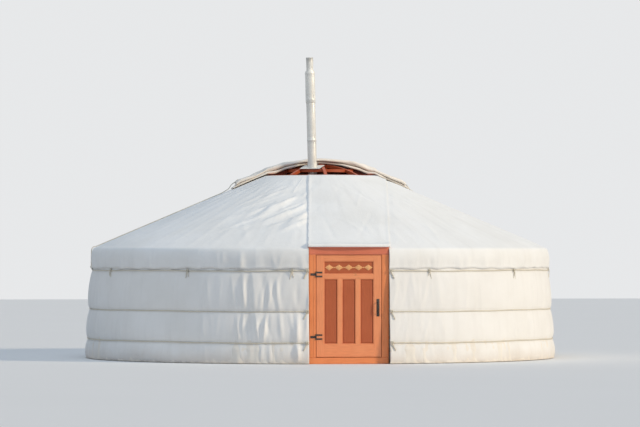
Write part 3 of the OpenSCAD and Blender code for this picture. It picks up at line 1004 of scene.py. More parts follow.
@dataclass(frozen=True)
class Creases:
    """Seeded folds in cloth that hangs or is stretched around Z."""

    seed: int
    count: int
    depth: Pair
    width: Pair
    slant: Pair
    low: float
    high: float
    bearings: Pair = (-pi, pi)
    length: Pair = (0.25, 0.6)

    def depths(self, points: Array, along: Array,
               radius: float | Array) -> Array:
        """Adds up all the folds.

        Args:
            points: the places.
            along: each place's distance along the cloth.
            radius: turns bearings into metres, one for all places or one each.

        Returns:
            The rise of the cloth at each place.
        """
        rng = np.random.default_rng(self.seed)
        around = bearing_of(points)
        total = np.zeros(len(points))
        for _ in range(self.count):
            bearing = rng.uniform(*self.bearings)
            centre = rng.uniform(self.low, self.high)
            slant = rng.uniform(*self.slant)
            reach = rng.uniform(*self.length)
            width = rng.uniform(*self.width)
            depth = rng.uniform(*self.depth) * (1 if rng.random() < 0.6 else -0.6)
            offset = turned(around - bearing) * radius - slant * (along - centre)
            total += depth * bump(offset, 0.0, width) * bump(along, centre, reach, 4)
        return total


def swept(runs: Runs, radius: float, roundness: int = 1) -> Mesh:
    """Sweeps a circle along lines.

    Args:
        runs: the lines.
        radius: the circle's.
        roundness: 1 gives the circle 8 sides, 2 gives 12.

    Returns:
        The mesh, with its cut map.
    """
    curve = bpy.data.curves.new("line", "CURVE")
    curve.dimensions = "3D"
    curve.bevel_depth = radius
    curve.bevel_resolution = roundness
    curve.use_fill_caps = True
    for run in runs:
        spline = curve.splines.new("POLY")
        spline.points.add(len(run) - 1)
        for point, place in zip(spline.points, run):
            point.co = (*place, 1.0)
    line = bpy.data.objects.new("line", curve)
    bpy.context.scene.collection.objects.link(line)
    bpy.context.view_layer.update()
    mesh = bpy.data.meshes.new_from_object(line.evaluated_get(
        bpy.context.evaluated_depsgraph_get()))
    bpy.data.objects.remove(line)
    bm = bmesh.new()
    bm.from_mesh(mesh)
    bpy.data.meshes.remove(mesh)
    bm.loops.layers.uv.remove(bm.loops.layers.uv["UVMap"])
    wrap_rope(bm, runs)
    return bm


def round_rope(name: str, runs: Runs, radius: float, palette: Palette,
               stands_for: Sequence[str]) -> Piece:
    """Makes a rope of one or more runs as one piece."""
    return finish(swept(runs, radius), name, palette.rope, stands_for=stands_for,
                  merge=1e-6)


def wrap_rope(bm: Mesh, runs: Runs) -> None:
    """Gives a rope its cut map: metres along its middle line, then turns around it.

    Args:
        bm: the rope's mesh.
        runs: its middle lines.
    """
    layer = cut_map(bm)
    points, lengths, ways = [], [], []
    for run in runs:
        travelled = 0.0
        for i, place in enumerate(run):
            if i:
                travelled += (place - run[i - 1]).length
            ahead = run[min(i + 1, len(run) - 1)] - run[max(i - 1, 0)]
            points.append(place)
            lengths.append(travelled)
            ways.append(ahead.normalized())
    line = np.array([tuple(p) for p in points])
    verts = np.array([tuple(v.co) for v in bm.verts])
    nearest = np.empty(len(verts), int)
    for i in range(0, len(verts), 2000):
        gap = ((verts[i:i + 2000, None, :] - line[None, :, :]) ** 2).sum(2)
        nearest[i:i + 2000] = gap.argmin(1)
    for face in bm.faces:
        first = None
        for loop in face.loops:
            k = int(nearest[loop.vert.index])
            way = ways[k]
            level = way.cross(Vector((0, 0, 1)))
            level = level.normalized() if level.length > 0.2 else way.cross(
                Vector((1, 0, 0))).normalized()
            out = loop.vert.co - points[k]
            turn = atan2(out.dot(way.cross(level)), out.dot(level)) / tau
            if first is None:
                first = turn
            turn -= round(turn - first)
            loop[layer].uv = (lengths[k] + out.dot(way), turn)


def bead(bm: Mesh, place: Sequence[float], radius: float, flat: float = 1.0,
         detail: int = 1) -> None:
    """Adds a small rounded bead, flattened along Y when flat is under 1."""
    bmesh.ops.create_icosphere(bm, subdivisions=detail, radius=radius,
                               matrix=stretched(place, (1.0, flat, 1.0)))


# The wall


@dataclass
class Drape(Part):
    """A cloth spun around the yurt, cut at the door and pushed into folds."""

    unwrap: float = 2.4

    def depth(self, points: Array) -> Array:
        """How far the cloth stands off its plain surface at each place."""
        return np.zeros(len(points))

    def cut(self, bm: Mesh) -> None:
        """Cuts away what the door frame takes of the wall."""
        half = self.plan.half_frame + 0.004
        cut_away(bm, lambda c: abs(c.x) < half and c.y < 0, door_planes(half, 2.0)[:2])

    def drape(self, name: str, node: str, finish_of: Finish, line: Line, spacing: float,
              arc: Pair, steps: int, thickness: float = 0.004) -> Piece:
        """Makes one cloth.

        Args:
            name: the piece's name.
            node: the CAD node that it stands for.
            finish_of: its cotton.
            line: its outer outline as (radius, height).
            spacing: the longest stretch of the outline.
            arc: where the spin starts and how far it goes, in degrees.
            steps: faces around it.
            thickness: how thick the cloth is.

        Returns:
            The cloth's object.
        """
        bm = bmesh.new()
        outline(bm, line, spacing)
        revolve(bm, *arc, steps)
        self.cut(bm)
        unwrap_round(bm, self.unwrap)
        piece = finish(bm, name, finish_of, stands_for=[node])
        displace(piece, self.depth)
        thicken(piece, thickness)
        return piece


@dataclass
class WallCanvas(Drape):
    """The cotton cover of the wall: two halves, cinched by ropes, with hanging folds."""

    unwrap: float = PLAN.wall_base_radius
    steps: int = 520
    spacing: float = 0.022
    swell: float = 0.034
    belly: float = 0.72
    fullness: float = 0.6
    most: float = 0.06
    pleats: int = 168
    pleat: float = 0.0022
    top: float = 1.425
    foot: float = 0.004

    def depth(self, points: Array) -> Array:
        """How far the cloth stands off its plain cone at each place.

        Args:
            points: the places on the plain cloth.

        Returns:
            The rise at each place in metres.
        """
        z = points[:, 2]
        ropes = sorted((self.foot, *self.plan.rope_heights, self.top))
        swell = np.zeros(len(points))
        for low, high in zip(ropes, ropes[1:]):
            share = ramp(z, low, high) ** self.belly
            inside = (z >= low) & (z < high)
            swell = np.where(inside, np.sin(share * pi) ** self.fullness, swell)
        free = np.clip(swell, 0, 1)
        around = bearing_of(points)
        beside = bump(np.abs(turned(around - DOOR_BEARING)), 0.2, 0.16)
        folds = Creases(7, 150, (0.003, 0.009), (0.018, 0.05), (-0.18, 0.18), 0.1, 1.3)
        tight = Creases(11, 36, (0.009, 0.021), (0.016, 0.036), (-0.22, 0.22), 0.25, 1.1,
                        (DOOR_BEARING - 0.48, DOOR_BEARING - 0.17))
        near = Creases(12, 12, (0.004, 0.008), (0.016, 0.03), (-0.3, 0.3), 0.25, 1.1,
                       (DOOR_BEARING + 0.16, DOOR_BEARING + 0.36))
        radius = self.plan.wall_base_radius
        rise = sum(c.depths(points, z, radius) for c in (folds, tight, near))
        slack = waves(points, 0.9, 3) * 0.006
        depth = free * (self.swell * (0.75 + 0.25 * waves(points, 1.4, 5)) + rise * 0.9 + slack)
        pleats = np.sin(around * self.pleats) * self.pleat * (1 - free) * (0.5 + 0.5 * beside)
        under_skirt = ramp(z, 1.12, 1.2)
        depth = depth * (1 - under_skirt * 0.92)
        return np.clip(depth + pleats * (1 - under_skirt), -0.002, self.most)

    def build(self) -> None:
        """Makes the two halves, from the back seam to the door."""
        line = [(self.plan.cover_radius(z), z) for z in (self.foot, self.top)]
        for side, bearing in (("left", 90.0), ("right", self.plan.door_edge)):
            piece = self.drape("wall_cover_" + side, "wall_canvas_" + side,
                               self.palette.wall_cotton, line, self.spacing,
                               (bearing, 90 - self.plan.door_edge), self.steps)


@dataclass
class BaseStrip(Drape):
    """The strip around the foot of the wall, gathered under the lowest rope."""

    unwrap: float = PLAN.wall_base_radius
    steps: int = 900
    top: float = 0.3
    foot: float = 0.004

    def depth(self, points: Array) -> Array:
        """The strip's gathers at the rope and its wavy edges.

        Args:
            points: the places on the plain cloth.

        Returns:
            The rise at each place in metres.
        """
        z = points[:, 2]
        around = bearing_of(points)
        rope = self.plan.rope_heights[2]
        free = ramp(z, rope - 0.012, rope - 0.082)
        above = ramp(z, rope + 0.01, rope + 0.03)
        ruffle = np.sin(around * 150 + 2.2 * np.sin(around * 23)) * 0.0035
        ruffle += np.sin(around * 61 + 1.1) * 0.003
        folds = Creases(31, 140, (0.003, 0.009), (0.02, 0.05), (-0.3, 0.3), 0.0, 0.2)
        rise = folds.depths(points, z, self.plan.wall_base_radius)
        depth = free * (0.008 + rise + ruffle + waves(points, 0.7, 33) * 0.004)
        return np.clip(depth + above * (0.004 + ruffle), 0.0, 0.028)

    def build(self) -> None:
        """Makes the strip."""
        out = self.plan.layer_gap + self.plan.cover
        line = [(self.plan.cover_radius(z) + out, z) for z in (self.foot, self.top)]
        piece = self.drape("base_band", "base_strip", self.palette.base_cotton, line, 0.014,
                           (self.plan.door_edge, 352.0), self.steps)


@dataclass
class FeltLayers(Part):
    """The felt of the wall and the roof, seen from inside."""

    def lumps(self, points: Array) -> Array:
        """Soft hollows that stay inside the solids."""
        return np.clip(waves(points, 0.35, 41) * 0.0012, -0.002, 0.0009)

    def shell(self, node: str, points: Line, bearing: float,
              sweep: float, steps: int, slot_half: float, slot_depth: float) -> None:
        """Makes one thick sector in place of a CAD node.

        Args:
            node: the node that it stands for.
            points: its closed outline.
            bearing: where it starts, in degrees.
            sweep: how far it goes, in degrees.
            steps: faces around it.
            slot_half: half the width of the slot at the door.
            slot_depth: how far out the slot begins.
        """
        bm = bmesh.new()
        ring = outline(bm, points, 0.09, close=True)
        bmesh.ops.contextual_create(bm, geom=ring)
        rotate(bm, bm.verts[:], bearing)
        spin(bm, radians(sweep), steps)
        box_low, box_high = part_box(node)
        if box_low.y < -slot_depth and box_low.x < slot_half and box_high.x > -slot_half:
            cut_away(bm, lambda c: abs(c.x) < slot_half - 1e-5 and c.y < -slot_depth - 1e-5,
                     door_planes(slot_half, slot_depth))
            loose = [e for e in bm.edges if len(e.link_faces) == 1]
            bmesh.ops.holes_fill(bm, edges=loose, sides=0)
        unwrap_round(bm, self.plan.wall_base_radius)
        piece = finish(bm, node + "_pressed", self.palette.felt, stands_for=[node])
        displace(piece, self.lumps)

    def build(self) -> None:
        """Makes the five wall felts and the four roof felts."""
        p = self.plan
        for i in range(p.sections):
            start = p.door_edge if i == 0 else p.first_section + i * p.section_angle
            end = p.first_section + (i + 1) * p.section_angle
            if i == p.sections - 1:
                end = 180 - p.door_edge
            section = [(p.wall_radius(z) + out, z)
                       for z, out in ((0.0, 0.0), (0.0, p.felt), (p.wall_height, p.felt),
                                      (p.wall_height, 0.0))]
            self.shell(f"wall_felt_{i + 1}", section, start + 0.02, end - start - 0.04, 60,
                       p.half_frame + 0.005, 1.5)
        inner, outer = p.crown_radius + 0.025, 3.014
        quarter = [(r, p.roof_z(r) + up) for r, up in ((inner, 0.0), (outer, 0.0),
                                                       (outer, p.roof_felt), (inner, p.roof_felt))]
        for name, start in (("front_left", 180.0), ("front_right", -90.0),
                            ("back_left", 90.0), ("back_right", 0.0)):
            self.shell("roof_felt_" + name, quarter, start + 0.02, 89.96, 80,
                       p.half_frame + 0.002, p.frame_back - 0.002)


@dataclass
class LatticeWall(Part):
    """Five folding sections of slats, laced with rawhide where they cross."""

    width: float = 0.03
    thickness: float = 0.0085
    clearance: float = 0.004
    lap: float = 0.0015
    stretch: int = 2
    head: float = 0.2
    stub: float = 0.1
    tip: float = 0.72
    mean_radius: float = 3.046
    knot: float = 0.0055

    def point(self, start: float, position: float, row: float) -> Place:
        """Bearing in radians, height and radius of a place on the lattice's cone.

        Args:
            start: the section's first bearing in degrees.
            position: half-steps from there.
            row: the row, from 0 at the foot.

        Returns:
            Bearing, height and radius.
        """
        z = self.plan.first_row + row * self.plan.row_rise
        bearing = radians(start + position * self.plan.half_step)
        return bearing, z, self.plan.wall_radius(z) - self.clearance

    def slat(self, bm: Mesh, start: float, position: float, low: float,
             high: float, lean: int, depth: float, shift: float) -> None:
        """Bends one slat around the cone.

        Args:
            bm: the mesh.
            start: the section's first bearing in degrees.
            position: its half-step at the lower row.
            low: the lower row.
            high: the upper row.
            lean: 1 climbs to the right, -1 to the left.
            depth: how far its outer face is inside the cone.
            shift: moves its grain pattern.
        """
        layer = cut_map(bm)
        before = len(bm.verts)
        made = bmesh.ops.create_cube(bm, size=1.0)["verts"]
        long_edges = [e for e in edges_of(made)
                      if abs(e.verts[0].co.x - e.verts[1].co.x) > 0.5]
        cuts = int((high - low) * self.stretch)
        bmesh.ops.subdivide_edges(bm, edges=long_edges, cuts=cuts)
        verts = list(bm.verts)[before:]
        rise = self.plan.row_rise
        angle = atan2(rise, radians(self.plan.half_step) * self.mean_radius)
        flat = {v: v.co.copy() for v in verts}
        length = (high - low) * rise / sin(angle)
        for face in faces_of(verts):
            for loop in face.loops:
                co = flat[loop.vert]
                loop[layer].uv = ((co.x + 0.5) * length + shift * 2.3,
                                  (co.y + co.z) * self.width + shift)
        for vert, co in flat.items():
            row = low + (co.x + 0.5) * (high - low)
            bearing, z, radius = self.point(start, position + lean * (row - low), row)
            taper = self.tip if abs(co.x) > 0.499 else 1.0
            side = co.y * self.width * taper
            inward = depth + (0.5 - co.z) * self.thickness
            bearing -= lean * side * sin(angle) / radius
            z += side * cos(angle)
            radius -= inward + self.plan.wall_lean * side * cos(angle)
            vert.co = at(radius, bearing, z)

    def section(self, index: int) -> None:
        """Makes one folding section.

        Args:
            index: which section, from 0.
        """
        p = self.plan
        bm = bmesh.new()
        start = p.section_start(index)
        last = 2 * p.heads - 1
        rng = random.Random(100 + index)
        for lean, depth in ((1, 0.0), (-1, self.thickness - self.lap + 0.0006)):
            edge = 0 if lean > 0 else last
            for foot in range(1 - lean, last, 2):
                top = min(p.rows, abs(last - edge - foot))
                above = self.head if top == p.rows else self.stub
                self.slat(bm, start, foot - lean * self.head, -self.head, top + above, lean,
                          depth, rng.random())
            for row in range((3 + lean) // 2, p.rows, 2):
                self.slat(bm, start, edge - lean * self.stub, row - self.stub,
                          p.rows + self.head, lean, depth, rng.random())
        finish(bm, f"lattice_section_{index + 1}", self.palette.timber,
               stands_for=[f"lattice_{index + 1}"], smooth=False, merge=1e-7)

    def knots(self) -> None:
        """Makes the rawhide knots on the inner face of every crossing."""
        p = self.plan
        bm = bmesh.new()
        for index in range(p.sections):
            for row in range(p.rows + 1):
                for position in range(row % 2, 2 * p.heads, 2):
                    bearing, z, radius = self.point(p.section_start(index), position, row)
                    spot = (radius - 2 * self.thickness + self.lap, 0, z)
                    place = Matrix.Rotation(bearing, 4, "Z") @ stretched(spot, (0.6, 1.3, 1.0))
                    bmesh.ops.create_icosphere(bm, subdivisions=1, radius=self.knot,
                                               matrix=place)
        finish(bm, "rawhide_knots", self.palette.hide)

    def build(self) -> None:
        """Makes all sections and their knots."""
        for index in range(self.plan.sections):
            self.section(index)
        self.knots()


# The roof


@dataclass
class RoofPoles(Part):
    """The roof poles from the lattice heads to the crown, square at the tenon."""

    foot: float = 2.998
    foot_height: float = 1.4198
    foot_radius: float = 0.0168
    top_radius: float = 0.0138
    rise: float = 0.4245
    tenon: float = 0.0245
    tenon_length: float = 0.062
    shoulder: float = 0.007
    sides: int = 14

    def pole(self, bm: Mesh, bearing: float, foot: float, shift: float) -> None:
        """Adds one tapered pole with a round shaft and a square tenon.

        Args:
            bm: the mesh.
            bearing: where it stands, in degrees.
            foot: the radius of its foot.
            shift: moves its grain pattern.
        """
        layer = cut_map(bm)
        slope = atan(self.rise)
        length = (foot - self.plan.crown_radius - self.shoulder) / cos(slope)
        shaft = cone(bm, self.sides, self.foot_radius, self.top_radius, length)
        bmesh.ops.translate(bm, vec=(0, 0, length / 2), verts=shaft)
        tenon = stretched((0, 0, length + 0.012), (self.tenon, self.tenon, self.tenon_length))
        made = shaft + bmesh.ops.create_cube(bm, size=1.0, matrix=tenon)["verts"]
        for face in faces_of(made):
            for loop in face.loops:
                co = loop.vert.co
                around = atan2(co.y, co.x) * self.foot_radius
                loop[layer].uv = (co.z + shift * 2.7, around + shift)
        z = self.foot_height + self.rise * (self.foot - foot)
        place = (about(bearing, "Z", 4) @ Matrix.Translation((foot, 0, z))
                 @ Matrix.Rotation(slope - pi / 2, 4, "Y"))
        bmesh.ops.transform(bm, matrix=place, verts=made)

    def build(self) -> None:
        """Makes four runs of poles, as the solids have them."""
        bearings = self.plan.pole_bearings()
        walls, doors = bearings[:-4], bearings[-4:]
        rng = random.Random(5)
        for run in range(4):
            bm = bmesh.new()
            for i, bearing in enumerate(walls):
                if i * 4 // len(walls) == run:
                    self.pole(bm, bearing, self.foot, rng.random())
            for bearing in doors:
                side = bearing + 90
                if (run == 0 and side > 0) or (run == 3 and side < 0):
                    foot = (self.plan.frame_back + 0.032) / cos(radians(side))
                    self.pole(bm, bearing, foot, rng.random())
            finish(bm, f"pole_run_{run + 1}", self.palette.timber,
                   stands_for=[f"roof_poles_{run + 1}"], smooth=True, merge=1e-7)


@dataclass
class RoofCover(Drape):
    """The roof's cotton cover: a cone with seams, rolled over the eave into a skirt."""

    steps: int = 960
    spacing: float = 0.03
    gores: int = 24
    inside: float = 0.73
    skirt_radius: float = 3.05
    skirt: float = 0.24
    most: float = 0.034
    ridge: float = 0.0032
    seam: float = 0.0022
    drawn: float = 0.017
    scallop_depth: float = 0.014

    def depth(self, points: Array) -> Array:
        """Pole ridges, seams, tension folds and the flutter of the skirt.

        Args:
            points: the places on the plain cloth.

        Returns:
            The rise at each place in metres.
        """
        p = self.plan
        r = radius_of(points)
        z = points[:, 2]
        around = bearing_of(points)
        on_roof = ramp(r, p.eave_radius, 2.88) * ramp(r, 0.78, 1.08)
        ridges = np.zeros(len(points))
        for bearing in p.pole_bearings():
            ridges += bump(turned(around - radians(bearing)) * r, 0.0, 0.045)
        seams = np.zeros(len(points))
        for k in range(self.gores):
            seams += bump(turned(around - tau * (k + 0.5) / self.gores) * r, 0.0, 0.011, 4)
        pulls = Creases(51, 110, (0.002, 0.006), (0.02, 0.05), (-0.7, 0.7), 1.0, 2.8,
                        length=(0.15, 0.4))
        beside = (DOOR_BEARING - 0.72, DOOR_BEARING - 0.14)
        left = Creases(52, 26, (0.006, 0.013), (0.02, 0.042), (-1.2, -0.4), 1.2, 2.3, beside,
                       (0.14, 0.34))
        broad = Creases(56, 11, (0.016, 0.028), (0.045, 0.08), (-1.1, -0.5), 1.25, 2.3, beside,
                        (0.2, 0.42))
        rise = sum(c.depths(points, r, r) for c in (pulls, left, broad))
        roof = on_roof * (0.004 + ridges * self.ridge + rise + waves(points, 0.8, 53) * 0.004)
        skirt = ramp(z, 1.44, 1.28)
        drawn_in = self.drawn * np.sin(pi * ramp(z, 1.49, 1.22)) ** 1.5
        flutter = np.sin(around * 58 + 1.7 * np.sin(around * 9)) * 0.5 + 0.5
        hang = Creases(54, 150, (0.004, 0.012), (0.02, 0.05), (-0.3, 0.3), 1.15, 1.4)
        fringe = drawn_in + skirt * (0.001 + 0.007 * flutter
                                     + 0.8 * hang.depths(points, z, self.skirt_radius))
        cloth = roof + seams * self.seam * ramp(r, 0.78, 0.88)
        bare = ramp(p.flap_offset(points), p.half_frame + 0.012, p.half_frame + 0.072)
        return np.clip(cloth * (0.1 + 0.9 * bare) + fringe, -0.001, self.most)

    def cut(self, bm: Mesh) -> None:
        """Notches the cover for the lintel."""
        half, depth = self.plan.half_frame + 0.003, self.plan.frame_back - 0.003
        cut_away(bm, lambda c: abs(c.x) < half and c.y < -depth, door_planes(half, depth))

    def scallop(self, piece: Piece) -> None:
        """Lifts and drops the hem in shallow scallops between the ties.

        Args:
            piece: the cover.
        """
        points = points_of(piece)
        around = bearing_of(points)
        low = ramp(points[:, 2], 1.36, 1.2)
        wave = np.abs(np.sin(around * 27 + 0.4)) + 0.25 * np.sin(around * 11 + 0.6)
        points[:, 2] += low * (wave - 0.45) * self.scallop_depth
        piece.data.vertices.foreach_set("co", points.ravel())
        piece.data.update()

    def build(self) -> None:
        """Makes the cover from the crown over the eave to its hem."""
        p = self.plan
        top = p.roof_felt + 0.002 + p.cover
        inner = p.crown_radius + 0.035
        eave = p.roof_z(3.007) + top + 0.001
        line = [(inner, p.roof_z(inner) + top), (3.007, eave), (3.024, eave - 0.0085),
                (3.036, eave - 0.019), (3.043, eave - 0.034), (3.047, eave - 0.052),
                (3.056, p.skirt_height)]
        piece = self.drape("roof_cover", "roof_canvas", self.palette.roof_cotton, line,
                           self.spacing, (-90.0, 360.0), self.steps, 0.003)
        self.scallop(piece)


@dataclass
class FrontFlap(Drape):
    """The flap laid over the roof from the crown to the lintel, hemmed on its sides."""

    hem: float = 0.032

    def depth(self, points: Array) -> Array:
        """Folds across the flap, its doubled hems and the seam above the door.

        Args:
            points: the places on the plain cloth.

        Returns:
            The rise at each place in metres.
        """
        r = radius_of(points)
        edge = self.plan.half_frame + 0.008
        hems = 1 / (1 + np.exp((edge - self.hem - self.plan.flap_offset(points)) / 0.0018))
        band = bump(r, 2.62, 0.012, 4) + bump(r, 3.05, 0.006, 4)
        folds = Creases(61, 20, (0.002, 0.005), (0.02, 0.05), (-0.5, 0.5), 1.0, 2.9,
                        (DOOR_BEARING - 0.3, DOOR_BEARING + 0.3), (0.15, 0.5))
        rise = folds.depths(points, r, r)
        return np.clip(0.004 + rise + waves(points, 0.5, 62) * 0.003, -0.001, 0.02) \
            + hems * 0.0028 + band * 0.002

    def cut(self, bm: Mesh) -> None:
        """Cuts the flap askew out of a broad strip of the roof's cone.

        Args:
            bm: the spun strip.
        """
        half = self.plan.half_frame + 0.008
        foot = Vector((0, -self.plan.frame_front, 0))
        across = about(-self.plan.flap_skew) @ Vector((1, 0, 0))
        cut_away(bm, lambda c: abs((c - foot).dot(across)) > half,
                 [(foot + across * side * half, across) for side in (-1, 1)])

    def build(self) -> None:
        """Makes the flap from the crown to its valance."""
        p = self.plan
        top = p.roof_felt + 2 * p.cover + 0.004
        line = [(r, p.roof_z(r) + top) for r in (p.crown_radius + 0.05, 2.892)]
        line += [(3.03, 1.514), (3.044, 1.511), (3.052, 1.503), (3.056, 1.476)]
        piece = self.drape("front_flap_cloth", "front_flap", self.palette.roof_cotton, line,
                           0.022, (-135.0, 129.0), 430)


@dataclass(frozen=True)
class Fold:
    """One doubled layer of the crown cloth: how it lies in the stack."""

    name: str
    low: float
    high: float
    curl: float
    front: float
    back: float
    seed: int
    stands_for: tuple[str, ...] = ()


@dataclass
class CrownCloth(Part):
    """The crown cloth thrown back over the rear of the crown, folded in a stack."""

    columns: int = 190
    spacing: float = 0.02
    turn: int = 10
    thickness: float = 0.004

    def support(self, r: Array) -> Array:
        """Height of what the cloth lies on at each radius.

        Args:
            r: the radii.

        Returns:
            One height a radius.
        """
        p = self.plan
        spokes, roof = (0.3, 0.5, 0.64), (p.crown_radius + 0.07, p.cloth_radius, 1.5)
        radii = [0.0, 0.06, *spokes, p.crown_radius + 0.015, *roof]
        apex = p.crown_apex + 0.014
        heights = [apex, apex, *(p.dome_z(x) + 0.01 for x in spokes), p.crown_top + 0.009,
                   *(p.roof_z(x) + 0.045 for x in roof)]
        return np.interp(r, radii, heights)

    def bulk(self, r: Array) -> Array:
        """Height of the whole stack at each radius."""
        return np.interp(r, [0.0, 0.28, 0.48, 0.64, 0.79, 0.96, 1.09, 1.16, 1.2, 1.3],
                         [0.066, 0.074, 0.09, 0.102, 0.07, 0.068, 0.078, 0.055, 0.03, 0.024])

    def lay(self, fold: Fold, flat: Array, hung: Array) -> Array:
        """Lays the flat folded cloth on the crown.

        Args:
            fold: the layer.
            flat: places as (across, from 0 in front to 1 at the hem, level from 0 to 1).
            hung: how far each place is into the curl, from 0 to 1.

        Returns:
            The places on the crown.
        """
        limit = fold.back
        across = flat[:, 0] * limit * 0.996
        hem = np.sqrt(np.maximum(limit ** 2 - across ** 2, 0.0))
        uneven = 1 + 0.02 * np.sin(across * 9 + fold.seed) + 0.012 * np.sin(across * 23)
        front = (-fold.front + 0.012 * np.sin(across * 5 + fold.seed)
                 + 0.006 * np.sin(across * 17 + 1.3 * fold.seed))
        y = front + (hem * uneven - front) * flat[:, 1]
        y = y - np.sin(hung * pi) * fold.curl
        r = np.hypot(across, y)
        level = fold.low + (fold.high - fold.low) * flat[:, 2]
        z = self.support(r) + level * self.bulk(r)
        return np.column_stack([across, y, z])

    def wrinkles(self, fold: Fold, points: Array, level: Array) -> Array:
        """Folds that fan out from the crown, and sags between the spokes.

        Args:
            fold: the layer.
            points: the places.
            level: 0 on the under side, 1 on the upper.

        Returns:
            The rise at each place in metres.
        """
        r = radius_of(points)
        around = bearing_of(points)
        free = 0.25 + 0.75 * level if fold.high > 1 else 0.2
        fans = Creases(fold.seed, 60, (0.005, 0.014), (0.016, 0.04), (-0.6, 0.6), 0.35, 1.15,
                       (-0.3, pi + 0.3), (0.12, 0.35))
        sags = (np.cos(around * 8) * 0.5 - 0.2) * bump(r, 0.45, 0.22, 4) * 0.012
        rise = fans.depths(points, r, r) + sags + waves(points, 0.3, fold.seed) * 0.006
        return free * rise * np.clip(r / 0.2, 0.3, 1)

    def layer(self, fold: Fold) -> None:
        """Makes one doubled layer: under side, curl and upper side in one sheet.

        Args:
            fold: how it lies.
        """
        rows = round((fold.back + fold.front) / self.spacing)
        turn = self.turn
        total = 2 * rows + turn
        bm = bmesh.new()
        bmesh.ops.create_grid(bm, x_segments=self.columns, y_segments=total, size=1.0)
        grid = np.array([tuple(v.co) for v in bm.verts])
        step = np.rint((grid[:, 1] + 1) / 2 * total)
        under = step < rows
        over = step > rows + turn
        hung = np.clip((step - rows) / turn, 0, 1)
        depth = np.where(under, (rows - step) / rows,
                         np.where(over, (step - rows - turn) / rows, 0.0))
        swing = 0.5 - 0.5 * np.cos(hung * pi)
        flat = np.column_stack([grid[:, 0], depth, swing])
        places = self.lay(fold, flat, np.where(under | over, 0.0, hung))
        layer = cut_map(bm)
        length = 2 * (fold.back + fold.front)
        bm.verts.index_update()
        for face in bm.faces:
            for loop in face.loops:
                x, y, _ = grid[loop.vert.index]
                loop[layer].uv = (x * fold.back, (y + 1) / 2 * length)
        places[:, 2] += self.wrinkles(fold, places, swing)
        for vert, place in zip(bm.verts, places):
            vert.co = place
        piece = finish(bm, fold.name, self.palette.crown_cotton,
                       stands_for=fold.stands_for)
        thicken(piece, self.thickness)

    def build(self) -> None:
        """Makes the two doubled layers, the lower one first."""
        edge, front = self.plan.cloth_radius, self.plan.cloth_front
        self.layer(Fold("crown_cloth_lower", 0.05, 0.46, 0.018, front - 0.012, edge - 0.004, 71,
                        ("crown_cover",)))
        self.layer(Fold("crown_cloth_upper", 0.54, 1.06, 0.022, front, edge - 0.05, 74))


# The ropes


